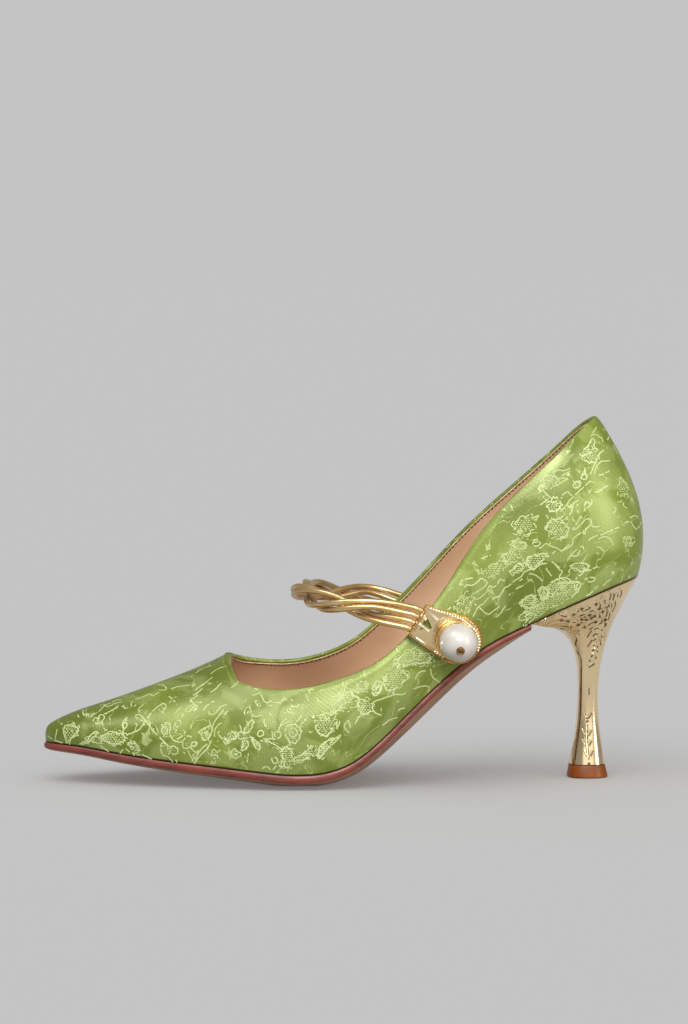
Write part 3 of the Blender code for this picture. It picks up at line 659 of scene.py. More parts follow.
def sightLine(px, py):
    return (ahead + right * ((px - photo["width"] / 2) / photo["focal"])
            - upward * ((py - photo["height"] / 2) / photo["focal"])).normalized()


# floats of the brocade: pale raised threads over the ground, drawn as ribbons; widths and heights in mm,
# steps, pitches and stitches in photo pixels
floats = dict(width=0.48, height=0.12, netWidth=0.37, step=0.9, wobble=0.30, gapShare=0.03, netPitch=2.6,
              netRow=0.8, stitch=1.5, stitchLean=0.8, stitchShift=0.5, scallop=0.42, lobes=9, rimSize=0.86,
              rimSteps=24, rimGaps=0.12, curveSteps=6, seed=11)
# ribbons laid on a surface: least cosine to the sight line, least slope to the inner side, lift of the edges
# in mm, and the largest step between spots and the start of the search for the inner side, in metres
laying = dict(grazing=0.24, farSlope=0.05, edgeLift=0.02, longestStep=0.003, farFrom=0.2)

# strokes charted on the outer side: corner of the chart and its unit in photo pixels, the strokes,
# and the outlines of the areas filled with a net of short stitches; the inner side repeats them
charts = dict(
    toe=dict(corner=(40, 680), unit=1.02, strokes="""
    8,55 12,58 17,60 22,62; 15,58 16,52 17,48; 26,62 24,55 23,49 25,45 28,44 31,44 34,46 37,47 36,51 33,54
    30,58 27,62; 29,63 30,58 33,56 37,53; 36,52 38,53 37,55; 33,42 34,44; 21,42 22,44; 37,34 38,37; 42,31
    43,35 45,33 46,36; 47,33 49,36 53,32; 49,37 54,33 58,31 62,26 68,23 74,20 80,19; 63,33 68,31 73,28
    77,25; 62,24 66,26 71,24 77,22 81,21; 52,40 54,37 57,38 58,35 61,34 63,36 62,39 60,41 62,42 57,43 54,42
    52,40; 64,34 66,32 70,30 76,27; 80,27 82,25 83,28 86,27; 91,21 89,24 92,26 94,24; 96,30 98,27 101,24;
    93,19 100,17 104,15 108,14 112,15 116,12; 105,6 112,5 120,5 124,8 121,10 117,10; 128,9 133,7 140,6
    147,5; 85,54 90,52 95,50 98,48 101,44 104,41; 104,41 101,37 98,34 95,34 94,36 97,39 101,40; 105,38
    108,34 112,29 116,26 120,23; 120,23 123,24 122,28 120,32 119,33; 104,41 108,46 112,51 117,56 122,61
    126,65; 81,52 82,47 81,43 83,39 86,37; 81,43 84,42 85,45 83,48 81,46 81,43; 61,56 64,53 69,53 73,51
    76,53 79,52 82,54 83,58 80,61 76,63 72,63 67,61 62,59 61,56; 62,47 64,50; 66,48 65,50; 40,62 44,61 47,58
    50,54 53,51 56,51 58,53; 43,63 47,61 51,57 55,55 59,58 60,61; 51,61 54,61 57,63 60,65 64,68 69,71; 56,65
    58,62 62,63; 38,66 40,66; 78,74 79,71 82,68 85,68 88,71; 86,64 88,61 90,62 93,62 95,65 98,70; 87,64
    91,66 94,68 97,71; 90,71 92,73 93,76; 100,73 106,76 112,78 117,79; 119,50 120,47 123,46 125,49 124,52
    121,53 119,50; 122,42 126,42 128,45 127,49 127,53 129,57 133,60 137,61 140,60 143,56 146,55 149,56;
    134,58 138,56 141,53 142,50 140,49; 132,45 134,40 137,40 138,42 135,46 132,45; 140,61 140,65 143,67
    147,66 149,62 152,61 153,63 151,65 148,65; 148,67 151,70 155,72; 141,71 142,72; 126,65 122,62 119,63
    118,67 119,71 122,75 126,73 127,69 124,67; 127,66 131,65 135,68 135,71 132,73 129,72; 124,74 128,78
    131,81 134,83; 133,78 134,81; 145,69 147,74 150,78; 149,73 152,77; 156,70 154,76 151,82; 147,21 150,22
    148,25 143,28 145,31 150,28 153,25 155,27 151,30; 132,33 136,29 139,27; 155,15 150,18 148,20; 130,-6
    137,-8 144,-12; 148,-3 154,-8 161,-12 168,-14; 158,6 164,1 170,-3; 126,16 131,20 135,26; 160,30 165,24
    171,21
    """, nets="""
    24,47 31,44 37,47 35,52 30,57 27,60 25,54; 61,56 69,52 80,52 83,58 76,63 66,61; 86,63 90,61 94,63 98,70
    94,72 90,67; 40,62 50,54 54,56 46,62; 120,44 127,44 126,52 121,53
    """),
    ball=dict(corner=(190, 680), unit=1.02, strokes="""
    5,10 10,6 14,4; 3,15 8,12 12,8; 0,20 4,23 2,27 0,29; 4,24 7,26 3,30; 18,31 20,34 24,33 27,30 31,26
    36,24; 34,28 30,33 26,38 23,43 22,48 21,53; 37,30 34,34 33,37; 8,51 11,49 14,47 17,46 20,44; 8,51 11,54
    12,58 15,59 18,57 20,54 21,50; 14,52 17,50 16,53 14,52; 24,56 24,51 26,46 29,43 31,42; 27,53 29,50;
    27,60 28,60; 29,55 30,55; 21,59 19,64 15,69 11,73 7,78 4,82; 17,63 13,66 10,69 8,72 5,76 2,80; 20,61
    18,66 14,71; 9,69 6,71 3,74; 21,72 22,69 25,69 27,71 30,68; 19,73 23,74 27,74 25,77 21,75; 16,80 17,81;
    21,80 22,80; 1,62 3,61 6,61 7,63 4,65 2,64; 0,66 3,69 6,71; 28,54 31,57 34,62 37,62 38,58; 33,56 36,59;
    40,59 43,58 45,55 42,51 40,50; 48,44 50,47 50,52; 47,53 49,51 52,52 53,56 50,58 47,56 47,53; 53,52 53,48
    55,45 58,41 61,40 62,41 61,45 59,49 56,52 53,52; 53,57 57,57 60,56 63,57; 53,58 51,61 52,64 50,69; 55,59
    57,63 55,67 52,69 50,69; 66,52 68,50 71,50 72,53 70,55 67,55 66,52; 60,58 62,62 65,67 69,68 68,63 65,60
    61,57; 57,72 57,75; 56,78 56,81; 40,70 43,68 44,67 46,70 49,71 50,74 47,76 44,77 42,75 40,73 40,70;
    43,72 46,74 45,72; 69,59 72,60 76,60 80,62 84,64 88,67 91,69; 72,58 77,58 82,57; 80,50 81,54 81,58
    84,58; 83,51 87,51 89,54 87,57 83,55 83,51; 87,50 88,46 92,43 97,41 100,42; 93,51 94,47 98,44 103,44
    107,47 109,51 107,57 103,62 99,61 95,57 93,53; 97,50 100,47 104,49 105,53 101,56 98,54 97,50; 100,51
    102,52; 104,41 107,38 109,35; 109,43 112,40 114,38; 88,45 92,40 95,38; 90,70 93,66 97,67 100,70 99,74
    102,78 100,80 97,79; 90,71 91,76 93,79 92,83 96,86 98,83; 80,77 83,76 86,79 84,82 81,80 80,77; 101,78
    106,75 111,73 116,72 121,74; 102,80 107,79 112,78 117,75; 110,73 113,70 117,67 118,64 115,64 116,66;
    125,76 126,70 128,65 132,61 137,59 143,57 147,56; 147,56 141,62 135,67 131,72 127,77 125,76; 129,65
    131,68; 126,75 128,78 132,76; 123,44 124,49 128,53 133,55 138,51 140,47 137,48; 129,30 134,33 139,31
    142,28; 133,40 137,36 141,31; 124,17 126,21 130,21; 127,11 132,9; 150,2 149,8 147,14 146,19; 143,48
    146,44 147,40; 150,45 153,42 156,40; 152,48 156,51; 71,87 75,85 79,88; 81,88 86,84 90,86; 58,25 60,31
    65,36 70,34; 73,38 73,43 77,48; 83,41 85,44; 88,24 91,20 94,18; 99,19 101,21; 117,11 119,9 121,10;
    116,10 118,13; 61,15 65,14 70,12; 70,14 72,20 77,22 80,20; 40,8 45,4 50,-2; 20,12 26,8 31,2; 20,-6
    26,-10 33,-13
    """, nets="""
    53,50 59,41 62,42 57,51; 52,60 56,60 55,67 51,68; 61,58 66,61 68,67 64,65; 95,46 104,45 108,52 103,60
    96,57; 90,70 97,66 101,72 101,80 97,86 91,82; 102,77 112,72 120,66 122,73 113,78 104,81; 126,74 130,64
    145,57 134,68 129,74; 41,70 48,71 47,76 42,75; 12,50 19,46 20,53 14,58; 124,40 136,34 142,42 134,53
    126,49; 34,57 42,51 44,57 37,61
    """),
    waist=dict(corner=(330, 600), unit=0.957, strokes="""
    18,86 16,91 14,97 12,102; 29,90 31,86 35,86 38,89 37,93 33,94 30,92; 24,93 27,95 30,98; 22,97 26,101
    31,103; 44,93 46,88 50,85 54,87 54,92 51,98 46,100 44,97; 47,94 51,90 53,93 50,97 47,96; 57,86 55,80
    54,79; 57,86 59,80 61,75 63,71; 57,87 58,92 62,95 67,93 71,91 74,88 78,85 81,81 79,77 76,75; 63,101
    68,99 73,99 78,98 82,96; 44,113 45,108 49,105 55,103 61,101 66,98 69,91; 44,113 46,117 50,119 54,121;
    42,116 38,119 34,120; 28,112 30,106 34,104 39,106; 30,122 28,126 26,129; 53,113 54,117; 20,126 16,129
    15,133 18,137 20,139; 20,128 21,133; 7,127 7,132 8,135; 0,150 5,145 10,144; 0,138 2,134; 68,67 70,63
    75,59; 77,70 82,68 87,66 92,66 97,66 103,65; 103,65 105,60 102,56; 88,53 88,58 86,63 81,65; 93,52 94,57
    92,62 96,63; 95,74 96,74; 85,74 84,72; 89,83 91,79 95,75 100,74; 105,72 106,78 110,83 115,86; 88,93
    93,91 99,90 104,92 102,97; 55,131 60,127 66,124 72,123; 70,115 74,114 78,113; 5,110 9,105 13,100; 10,112
    15,108 21,107; 4,118 8,116 12,112
    """, nets="""
    58,84 64,74 72,70 79,76 80,81 72,90 64,94 60,90; 30,110 38,104 44,108 43,115 36,119 31,114; 70,62 78,56
    88,54 102,57 104,64 92,68 80,68 72,68; 28,88 36,86 38,92 30,95; 45,92 52,87 53,93 47,98; 2,104 12,98
    24,100 26,110 12,116 3,114
    """),
    quarter=dict(corner=(430, 500), unit=0.893, strokes="""
    33,96 36,94 39,97 42,95 46,96 50,94 54,91 57,88 60,89 63,91 64,93; 64,92 62,96 57,100 52,103 49,106
    49,109 53,111 58,108 62,105 64,102 66,97 67,96 69,98 72,97 75,95 77,91 80,89 83,91 83,89; 33,96 35,91
    39,89 44,88 50,87; 48,131 51,125 55,119 60,116 64,111 69,109 73,109 78,107 81,103 84,98 87,97 92,93
    97,89 102,86 104,83 107,80 112,78 118,76 124,72 131,71; 69,112 75,109 79,108; 100,91 104,88; 44,114
    48,116 52,118 56,121 60,125 65,128 70,125 74,122 78,119; 74,131 79,127 82,122 85,118; 88,107 90,105;
    92,104 94,103; 96,100 98,99 101,97 104,96; 89,80 92,85 94,83 98,80 104,78; 89,80 94,77 98,72 101,72
    104,75; 110,74 108,70 110,65 115,63 121,62 126,60 131,62 133,64; 110,74 114,77 119,74 124,69; 111,83
    115,83 119,85 123,88 126,91; 136,69 140,72 144,77 148,80 146,84 145,88; 139,71 145,76; 130,76 132,80
    136,85; 89,51 93,48 97,46 101,48 106,48 108,52 104,55 97,54 92,51; 115,50 117,45 121,45 123,49 119,52
    116,51; 117,48 121,46; 130,34 131,29 134,24 138,22 143,25 148,25 153,29 155,34 152,40 147,43 142,44;
    132,37 136,35; 140,35 141,36; 146,31 148,35; 130,17 133,21 136,26; 137,21 142,22 147,20 149,17; 120,55
    126,52 130,49 136,52 142,54 147,57 151,54 156,50; 137,60 141,57; 100,115 104,113 107,109 112,107 116,109
    117,113 114,116 110,114; 102,120 107,119 112,121 118,120; 121,104 125,98 129,99 132,103 131,108 127,110
    123,107; 135,94 140,90 145,88 151,90 154,94 150,97 146,95; 106,131 110,128 115,127 119,129; 47,71 50,72
    54,75; 57,66 62,64 68,62; 95,27 98,23 100,22; 28,114 32,112 36,109; 30,118 34,115; 36,117 40,111 44,109;
    20,123 24,120; 43,127 44,122
    """, nets="""
    90,80 99,72 104,76 98,81; 109,72 111,65 121,62 130,61 126,68 116,76; 131,30 138,22 148,25 154,33 148,42
    136,40; 101,116 112,108 117,113 110,121; 123,106 128,99 132,106 127,111; 106,126 124,116 140,104 152,97
    156,108 140,118 120,130 108,136; 92,52 100,47 107,51 98,54; 28,120 36,108 46,106 44,118 34,124; 60,80
    76,70 84,74 70,86; 82,62 94,57 100,63 88,70
    """),
    back=dict(corner=(510, 420), unit=0.893, strokes="""
    33,70 36,67 40,63 45,62 50,64 54,66 60,65 65,66; 54,66 50,62 48,58; 49,58 55,56 60,57 67,54; 67,57 63,60
    58,62; 47,75 52,73 58,70 65,66; 33,71 36,76 39,81 43,85 46,87; 39,70 44,68 48,67; 39,76 43,73; 57,101
    62,97 66,91 70,87 74,83 78,79 83,75 88,70 92,69 95,71; 34,95 38,92 43,88; 46,92 48,87 52,86 53,89 50,92
    47,93; 57,88 59,84 62,82 65,80 67,83 70,85; 70,74 73,70 77,69 78,73 75,76 71,75; 79,65 82,61 86,62 85,66
    81,66 79,65; 44,103 50,102 55,99 57,95; 58,113 62,111 66,107 69,102 70,97 72,93 77,90; 75,97 76,94;
    75,101 77,104; 83,96 86,92 90,95 92,92; 95,80 98,81 103,77 107,75 110,73; 91,17 95,16 99,18 103,21
    104,25; 90,26 92,21 95,24 94,28 96,32 100,33; 82,34 85,31 88,28 90,23; 78,37 80,40 84,39 88,38 92,36;
    81,46 86,46 90,48 92,45; 106,33 102,36 99,41 97,46 94,51 92,56 90,61; 112,46 106,46 101,47 97,52 95,57
    95,61; 116,28 118,33 121,38; 104,10 108,13 111,18 109,22; 99,62 104,61 108,59 111,57; 119,66 120,66;
    126,66 129,70 131,74; 127,92 127,96 131,99; 136,86 138,90 139,94; 70,123 74,117 77,112 79,108 81,111;
    71,123 75,121 79,117; 80,117 84,112 89,111 91,114 90,118 86,121 84,126 83,128 82,125 86,121; 91,118
    95,120 100,119; 70,134 73,131 77,128 80,126; 70,134 70,139 65,143 61,145 57,147; 116,97 119,100 116,104
    117,108; 134,110 137,108 142,108 146,112 146,117 143,122; 126,118 131,114 136,115 138,119 142,123;
    88,135 94,131 101,129 108,126 115,123 122,120; 99,134 104,131 110,132 114,136 116,141; 130,134 134,132
    136,136 132,139 130,136; 97,7 95,11 92,15
    """, nets="""
    37,70 46,65 54,66 50,72 42,76; 43,92 52,93 57,96 50,101 43,98; 80,36 90,31 97,36 98,42 91,47 83,43;
    124,66 131,74 130,82 125,84 121,78; 71,74 77,69 78,74 73,76; 4,116 20,108 26,120 10,130; 128,132 137,132
    136,140 129,139
    """),
    counter=dict(corner=(520, 500), unit=0.829, strokes="""
    57,73 60,69 63,65 66,62 70,60 72,63 69,65; 61,66 66,68 71,66; 73,57 76,56 77,60; 61,82 64,78 69,76 74,76
    79,77 82,80 80,84 75,82; 59,88 60,84 65,82 70,84 73,87 78,86 83,85 88,83 94,80; 67,96 70,92 74,90 78,86;
    37,100 41,97 46,95 52,94 58,95 61,99 57,101 52,99; 48,100 53,99 55,101; 62,99 67,98 72,100 73,104 70,109
    66,113 63,117; 66,101 66,107; 69,101 67,110; 21,110 26,105 30,107 33,110 32,115 28,117; 24,118 27,121
    33,118; 2,121 7,120 10,116 15,115 18,119 16,123 11,124; 78,96 83,94 90,94 88,98 82,99; 110,88 113,87
    111,91; 100,104 106,98 110,96; 92,56 97,58 102,62; 80,116 88,110 94,104
    """, nets="""
    48,101 58,101 70,102 68,110 60,114 52,110; 2,122 15,116 20,122 12,128 4,128; 24,108 32,108 31,116
    25,117; 62,79 78,77 80,83 66,84; 34,104 44,98 50,106 40,114; 8,132 22,126 26,130 12,138
    """))


def numberPairs(text):
    return [np.array([[float(number) for number in spot.split(",")] for spot in stroke.split()])
            for stroke in text.split(";")]


def seenOn(tree, px, py):
    spot, normal, _, _ = tree.ray_cast(eye, sightLine(px, py))
    if spot is None or normal.dot((eye - spot).normalized()) < laying["grazing"]:
        return None
    return spot, normal


def acrossFrom(tree, spot):
    # the same place on the inner side of the shoe
    if spot is None:
        return None
    far, normal, _, _ = tree.ray_cast(Vector((spot[0].x, laying["farFrom"], spot[0].z)), Vector((0, -1, 0)))
    return None if far is None or normal.y < laying["farSlope"] else (far, normal)


def addRibbon(bm, spots, width, height, finish):
    points = [spot[0] for spot in spots]
    last = len(spots) - 1
    strip = bmesh.ops.create_grid(bm, x_segments=last, y_segments=2, size=1.0)["verts"]
    for face in {face for v in strip for face in v.link_faces}:
        face.material_index = finish
    for v in strip:
        i = round((v.co.x + 1) / 2 * last)
        side = round(v.co.y)
        run = (points[min(i + 1, last)] - points[max(i - 1, 0)]).normalized()
        normal = spots[i][1]
        lift = height if side == 0 else laying["edgeLift"]
        v.co = points[i] + normal.cross(run) * (side * width / 2 * mm) + normal * (lift * mm)


def addRuns(bm, spots, width, height, finish):
    # ribbons over the runs of spots that lie on the surface close to each other
    run = []
    for spot in spots + [None]:
        if spot is None or (run and (spot[0] - run[-1][0]).length > laying["longestStep"]):
            if len(run) > 1:
                addRibbon(bm, run, width, height, finish)
            run = []
        if spot is not None:
            run.append(spot)


def addBothSides(bm, tree, spots, width, height, finish=0):
    addRuns(bm, spots, width, height, finish)
    addRuns(bm, [acrossFrom(tree, spot) for spot in spots], width, height, finish)


def strokeSpots(line, draw, gapShare):
    spots = []
    wobble = floats["wobble"]
    for px, py in evenly(line, floats["step"]):
        skipped = draw.random() < gapShare
        shiftX, shiftY = draw.uniform(-1, 1) * wobble, draw.uniform(-1, 1) * wobble
        spots.append(None if skipped else seenOn(outerTree, px + shiftX, py + shiftY))
    return spots


def inside(px, py, outline):
    crossed = False
    for (ax, ay), (bx, by) in zip(outline, np.roll(outline, -1, axis=0)):
        if (ay > py) != (by > py) and px < ax + (py - ay) / (by - ay) * (bx - ax):
            crossed = not crossed
    return crossed


def netEdge(outline):
    # scalloped rim of a flower or leaf
    count = len(outline)
    middle, closed = outline.mean(axis=0), np.vstack([outline, outline[:1]])
    at = np.linspace(0, count, floats["rimSteps"] * count)
    bulge = floats["rimSize"] + floats["scallop"] * np.abs(np.sin(at / count * floats["lobes"] * math.pi))
    return middle + (smoothRun(closed)(at) - middle) * bulge[:, None]


def netSpots(outline, draw):
    pitch, reach = floats["netPitch"], floats["stitch"] / 2
    low, high = outline.min(axis=0), outline.max(axis=0)
    for row, py in enumerate(np.arange(low[1], high[1], pitch * floats["netRow"])):
        for px in np.arange(low[0] + (row % 2) * pitch / 2, high[0], pitch):
            lean = draw.uniform(-1, 1) * floats["stitchLean"]
            shift = draw.uniform(-1, 1) * floats["stitchShift"]
            if inside(px, py, outline):
                yield [seenOn(outerTree, px + shift + end * reach, py - end * lean) for end in (-1, 1)]


def makeFloats():
    draw = random.Random(floats["seed"])
    height, netWidth = floats["height"], floats["netWidth"]
    bm = bmesh.new()
    for chart in charts.values():
        corner = np.array(chart["corner"])
        for stroke in numberPairs(chart["strokes"]):
            line = corner + smoothPoints(stroke, floats["curveSteps"]) * chart["unit"]
            spots = strokeSpots(line, draw, floats["gapShare"])
            addBothSides(bm, outerTree, spots, floats["width"], height)
        for outline in numberPairs(chart["nets"]):
            rim = strokeSpots(corner + netEdge(outline) * chart["unit"], draw, floats["rimGaps"])
            addBothSides(bm, outerTree, rim, netWidth, height)
            for stitch in netSpots(corner + outline * chart["unit"], draw):
                addBothSides(bm, outerTree, stitch, netWidth, height)
    toObject("brocadeFloats", bm, [threadLook])


makeFloats()

# topline, in mm: bound roll of the throat, cream piping and the row of dark stitches along the lining
edging = dict(rollReach=1.3, rollRadius=1.0, rollEnd=0.5, rollBack=0.9, rollPitch=0.6, rollSides=14,
              piping=0.24, pipingDrop=0.1, pipingLift=0.12, pipingPitch=1.2, pipingSides=8, stitchDrop=0.9,
              stitchLift=0.05, stitchLength=1.25, stitchPitch=1.85, stitchRadius=0.17, stitchSides=6,
              samples=200,
              cream=(rgb(0.55, 0.40, 0.20), rgb(0.78, 0.64, 0.40)),
              brown=(rgb(0.055, 0.022, 0.010), rgb(0.11, 0.05, 0.024)))


def throatEdge():
    # edge of the throat in the middle of the wall, from the outer to the inner side
    half = shoe["throatRow"] + edging["rollReach"] * np.linspace(0, 1, 60) ** 2
    t = np.concatenate([half[::-1], loopT - half[1:]])
    cover = np.interp(t, stations, covers)
    line = lastPoint(t, cover) - shoe["wall"] / 2 * lastNormal(t, cover)
    line[:, 0] -= edging["rollBack"] * (1 - np.linspace(-1, 1, len(t)) ** 2)
    return evenly(line, edging["rollPitch"])


def insideLine(drop, lift):
    # run around the collar on the lining, a drop below the turned-in cloth
    start = shoe["throatRow"] + 0.02
    half = start + (backT - start) * np.linspace(0, 1, edging["samples"]) ** 1.25
    t = np.concatenate([half[::-1], loopT - half])
    t = t[np.concatenate([[True], np.abs(np.diff(t)) > 1e-9])]
    cover = np.interp(t, stations, covers)
    angle = depthAngle(t, cover, foldDepth(t, cover) + drop)
    return lastPoint(t, angle) - (shoe["wall"] + lift) * lastNormal(t, angle)


def makeEdging():
    bm = bmesh.new()
    line = throatEdge()
    aside = np.linspace(-1, 1, len(line)) ** 2
    addTube(bm, line, edging["rollRadius"] * (1 - aside) + edging["rollEnd"] * aside, edging["rollSides"])
    closeUp(bm)
    binding = mottled("throatBinding", (cloth["deep"], cloth["ground"]), 120.0, (0.38, 0.06), metallic=0.24)
    toObject("throatRoll", bm, [binding.grained(900.0, 0.3, 0.00015)])
    bm = bmesh.new()
    line = evenly(insideLine(edging["pipingDrop"], edging["pipingLift"]), edging["pipingPitch"])
    addTube(bm, line, edging["piping"], edging["pipingSides"])
    closeUp(bm)
    piping = mottled("creamPiping", edging["cream"], 500.0, (0.35, 0.1), metallic=0.3)
    toObject("toplinePiping", bm, [piping.material])
    bm = bmesh.new()
    perStitch = 3
    line = evenly(insideLine(edging["stitchDrop"], edging["stitchLift"]), edging["stitchPitch"] / perStitch)
    reach = edging["stitchLength"] / 2
    radii = np.array([0.5, 1.0, 1.0, 0.5]) * edging["stitchRadius"]
    for k in range(perStitch, len(line) - 5, perStitch):
        way = unit(line[k + 1] - line[k])
        spots = [line[k] + way * (reach * share) for share in (-1.0, -0.6, 0.6, 1.0)]
        addTube(bm, spots, radii, edging["stitchSides"])
    closeUp(bm)
    stitches = mottled("brownThread", edging["brown"], 800.0, (0.6, 0.1))
    toObject("toplineStitches", bm, [stitches.material])


makeEdging()

# sock lining on the insole: rows across, rounded shoulder in mm
sock = dict(columns=90, across=14, shoulder=0.5, shoulderRows=4)


def makeSock():
    margin = shoe["wall"] + 2 * shoe["gap"]

    def edge(t, w):
        # rounded shoulder for w from 0 to 1, and the foot of the side wall at -1
        turn = w * quarterTurn
        plan = inset(t, margin + sock["shoulder"] * (1 - np.cos(turn)))
        rise = shoe["insole"] - sock["shoulder"] * (1 - np.sin(turn))
        return np.column_stack([plan, seat(plan[:, 0]) + np.where(w < 0, shoe["gap"], rise)])

    def shoulder(u, w):
        return edge(loopT * u, w)

    def side(u, w):
        low = edge(loopT * u, np.full(len(u), -1.0))
        return low + (edge(loopT * u, np.zeros(len(u))) - low) * w[:, None]

    bm = bmesh.new()
    addGrid(bm, 2 * sock["columns"], sock["shoulderRows"], shoulder)
    addGrid(bm, 2 * sock["columns"], 1, side)
    for row in (1.0, -1.0):
        addGrid(bm, sock["columns"], sock["across"], capAcross(edge, backT, row))
    closeUp(bm)
    toObject("sockLining", bm, [liningLook], replaced=["insole"])


makeSock()

# outsole, in mm: a burnished red band with soft shoulders over a tan bevel and tread
sole = dict(columns=100, across=12, bandRows=6, bevelRows=8, bulge=0.16, soften=0.3, shoulder=0.12,
            sag=0.25, sagFrom=4.0, sharpFrom=35.0, red=(rgb(0.19, 0.034, 0.020), rgb(0.10, 0.016, 0.010)),
            tan=(rgb(0.36, 0.195, 0.115), rgb(0.27, 0.138, 0.080)))


def bandFoot(x):
    return seat(x) - profile(2, x)


def tread(x):
    return np.maximum(bandFoot(x) - profile(3, x), 0.0)


def soleBand(t, w):
    shoulders = sole["soften"] * (np.exp(-w / sole["shoulder"]) + np.exp(-(1 - w) / sole["shoulder"]))
    plan = inset(t, shoulders - sole["bulge"] * np.sin(math.pi * w) - shoe["soleMargin"])
    return np.column_stack([plan, seat(plan[:, 0]) * (1 - w) + bandFoot(plan[:, 0]) * w])


def soleBevel(t, w):
    start = sole["soften"] - shoe["soleMargin"]
    end = profile(4, section(t)[:, 0])
    plan = inset(t, start + (end - start) * w)
    foot = bandFoot(plan[:, 0])
    sag = sole["sag"] * np.sin(math.pi * w) * np.minimum(1.0, foot / sole["sagFrom"])
    return np.column_stack([plan, foot * (1 - w) + tread(plan[:, 0]) * w - sag])


def makeSole():
    breast = stationAtX(shoe["breastX"])

    def around(form):
        return lambda u, w: form(breast * (1 - 2 * u), w)

    def breastFace(form):
        def place(u, w):
            near, far = form(np.full(len(u), breast), w), form(np.full(len(u), -breast), w)
            return near + (far - near) * u[:, None]
        return place

    bm = bmesh.new()
    forms = [(soleBand, sole["bandRows"], 0.0), (soleBevel, sole["bevelRows"], 1.0)]
    for finish, (form, rows, capRow) in enumerate(forms):
        addGrid(bm, 2 * sole["columns"], rows, around(form), finish)
        addGrid(bm, sole["across"], rows, breastFace(form), finish)
        addGrid(bm, sole["columns"], sole["across"], capAcross(form, breast, capRow), 1)
    closeUp(bm)
    red = mottled("burnishedRed", sole["red"], 90.0, (0.42, 0.14), 3.0, 0.6, (0.35, 0.7), (1.0, 1.0, 3.0),
                  coatWeight=0.08, coatRoughness=0.3)
    tan = mottled("tanLeather", sole["tan"], 45.0, (0.5, 0.15), 4.0, 0.6, (0.3, 0.75))
    looks = [red.grained(900.0, 0.2, 0.0002), tan.grained(1200.0, 0.2, 0.0002)]
    toObject("soleShell", bm, looks, sole["sharpFrom"], replaced=["outsole"])


makeSole()

# heel: front x and z, back x and z, half width of its rings in mm, from the seat down
heelRows = [
    (194.0, 63.4, 238.2, 81.4, 21.6), (197.0, 62.2, 236.6, 78.2, 20.0), (201.9, 61.0, 234.2, 74.2, 17.4),
    (205.9, 59.4, 232.1, 70.0, 14.4), (208.9, 57.3, 230.1, 66.0, 11.6), (211.3, 54.0, 227.9, 61.2, 9.0),
    (213.0, 49.6, 225.6, 54.6, 6.9), (214.0, 44.2, 223.7, 46.4, 5.4), (214.4, 37.0, 222.6, 37.6, 4.6),
    (214.4, 29.0, 222.4, 29.0, 4.4), (213.9, 22.0, 222.9, 22.0, 4.7), (212.8, 15.0, 223.8, 15.0, 5.5),
    (211.5, 9.5, 224.7, 9.5, 6.4), (210.9, 5.5, 225.3, 5.5, 7.0)]
# lift: front x, back x, half width, z
liftRows = [(210.9, 225.3, 7.0, 5.2), (210.1, 226.5, 7.8, 0.5), (210.4, 226.2, 7.5, 0.0)]
# relief: the part of the heel, by z and by x from the middle of the shoe, in mm, with fine flowing lines
heel = dict(sideSteps=44, frontSteps=12, ringsPerRow=8, seatRows=0.5, roundRow=5.0, stemPower=2 / 2.6,
            softEdge=0.25, liftEdge=0.25, liftCorner=0.9, sharpFrom=40.0, reliefZ=(48.0, 56.0),
            reliefX=(100.0, 112.0), gold=rgb(0.99, 0.80, 0.485), deepGold=rgb(0.92, 0.72, 0.415),
            groove=rgb(0.10, 0.055, 0.020), paleGrooveShade=rgb(0.264, 0.188, 0.099),
            amber=(rgb(0.205, 0.052, 0.006), rgb(0.145, 0.036, 0.004)))

# engraving charted on the outer side of the heel, in photo pixels from a corner: grooves and round
# pits; widths and heights in mm
# painted shade: grooves and pits are dark ribbons lying just over the gold, with gold ridges beside the
# grooves
engraving = dict(
    width=0.66, grooveHeight=0.05, ridge=0.22, ridgeShift=1.3, pit=1.2, pitHeight=0.04, step=1.0,
    curveSteps=8,
    crown=dict(corner=(560, 590), unit=0.574, grooves="""
    0,67 8,68 15,72 22,77 27,83 29,88 27,93 28,98; 30,108 33,113 36,119 37,127 37,157 36,190 34,226 30,262
    26,296; 22,59 26,63 30,68 33,72; 33,76 34,78; 22,58 24,56 27,57; 49,62 53,59 57,57 62,56; 34,46 38,44
    43,43; 41,48 45,47; 52,38 57,36 62,37 66,40 69,44 69,49; 50,30 54,31; 73,17 77,21 79,24; 81,32 82,38
    81,44 79,47; 72,36 74,40; 78,52 76,55; 75,60 79,64; 93,8 94,12 92,17; 96,20 96,27 93,34 91,38; 100,7
    101,12; 89,24 91,33; 60,69 64,67 69,67 74,71; 57,81 61,77 65,76 70,78 73,83; 58,89 62,85 66,86 70,91
    71,96; 58,97 62,96 66,100; 56,106 60,104 64,106 66,108; 54,117 57,113 59,113 62,117 63,120; 51,125
    53,122; 50,135 53,133 58,130 60,128; 46,79 49,74 53,68 57,65; 47,83 51,77 55,71; 48,99 52,93 56,87; 1,44
    6,45 11,47; 2,64 8,63 15,64; 86,5 88,12 86,18; 106,0 107,7 104,14; 66,20 70,26 69,31; 28,50 33,53 38,58;
    84,52 86,46 87,40; 68,60 72,56 74,50; 10,58 16,61 20,66; 44,36 48,34 52,33; 30,38 34,36
    """, pits="""
    63,25 38,33 24,43 14,55 3,53 38,52 46,52 55,49 60,46 62,56 43,65 74,38 77,20 80,31 79,52 79,60 93,9
    52,44 69,33 86,27 32,61
    """),
    stem=dict(corner=(520, 560), unit=1.4675, grooves="""
    44,104 46,108 49,104; 46,112 46,118 46,126 47,136; 43,116 45,120; 49,116 47,120; 43,123 45,127; 49,123
    47,127; 44,130 46,134; 50,130 48,134; 47,87 47,92
    """, pits="46,110 47,139"))


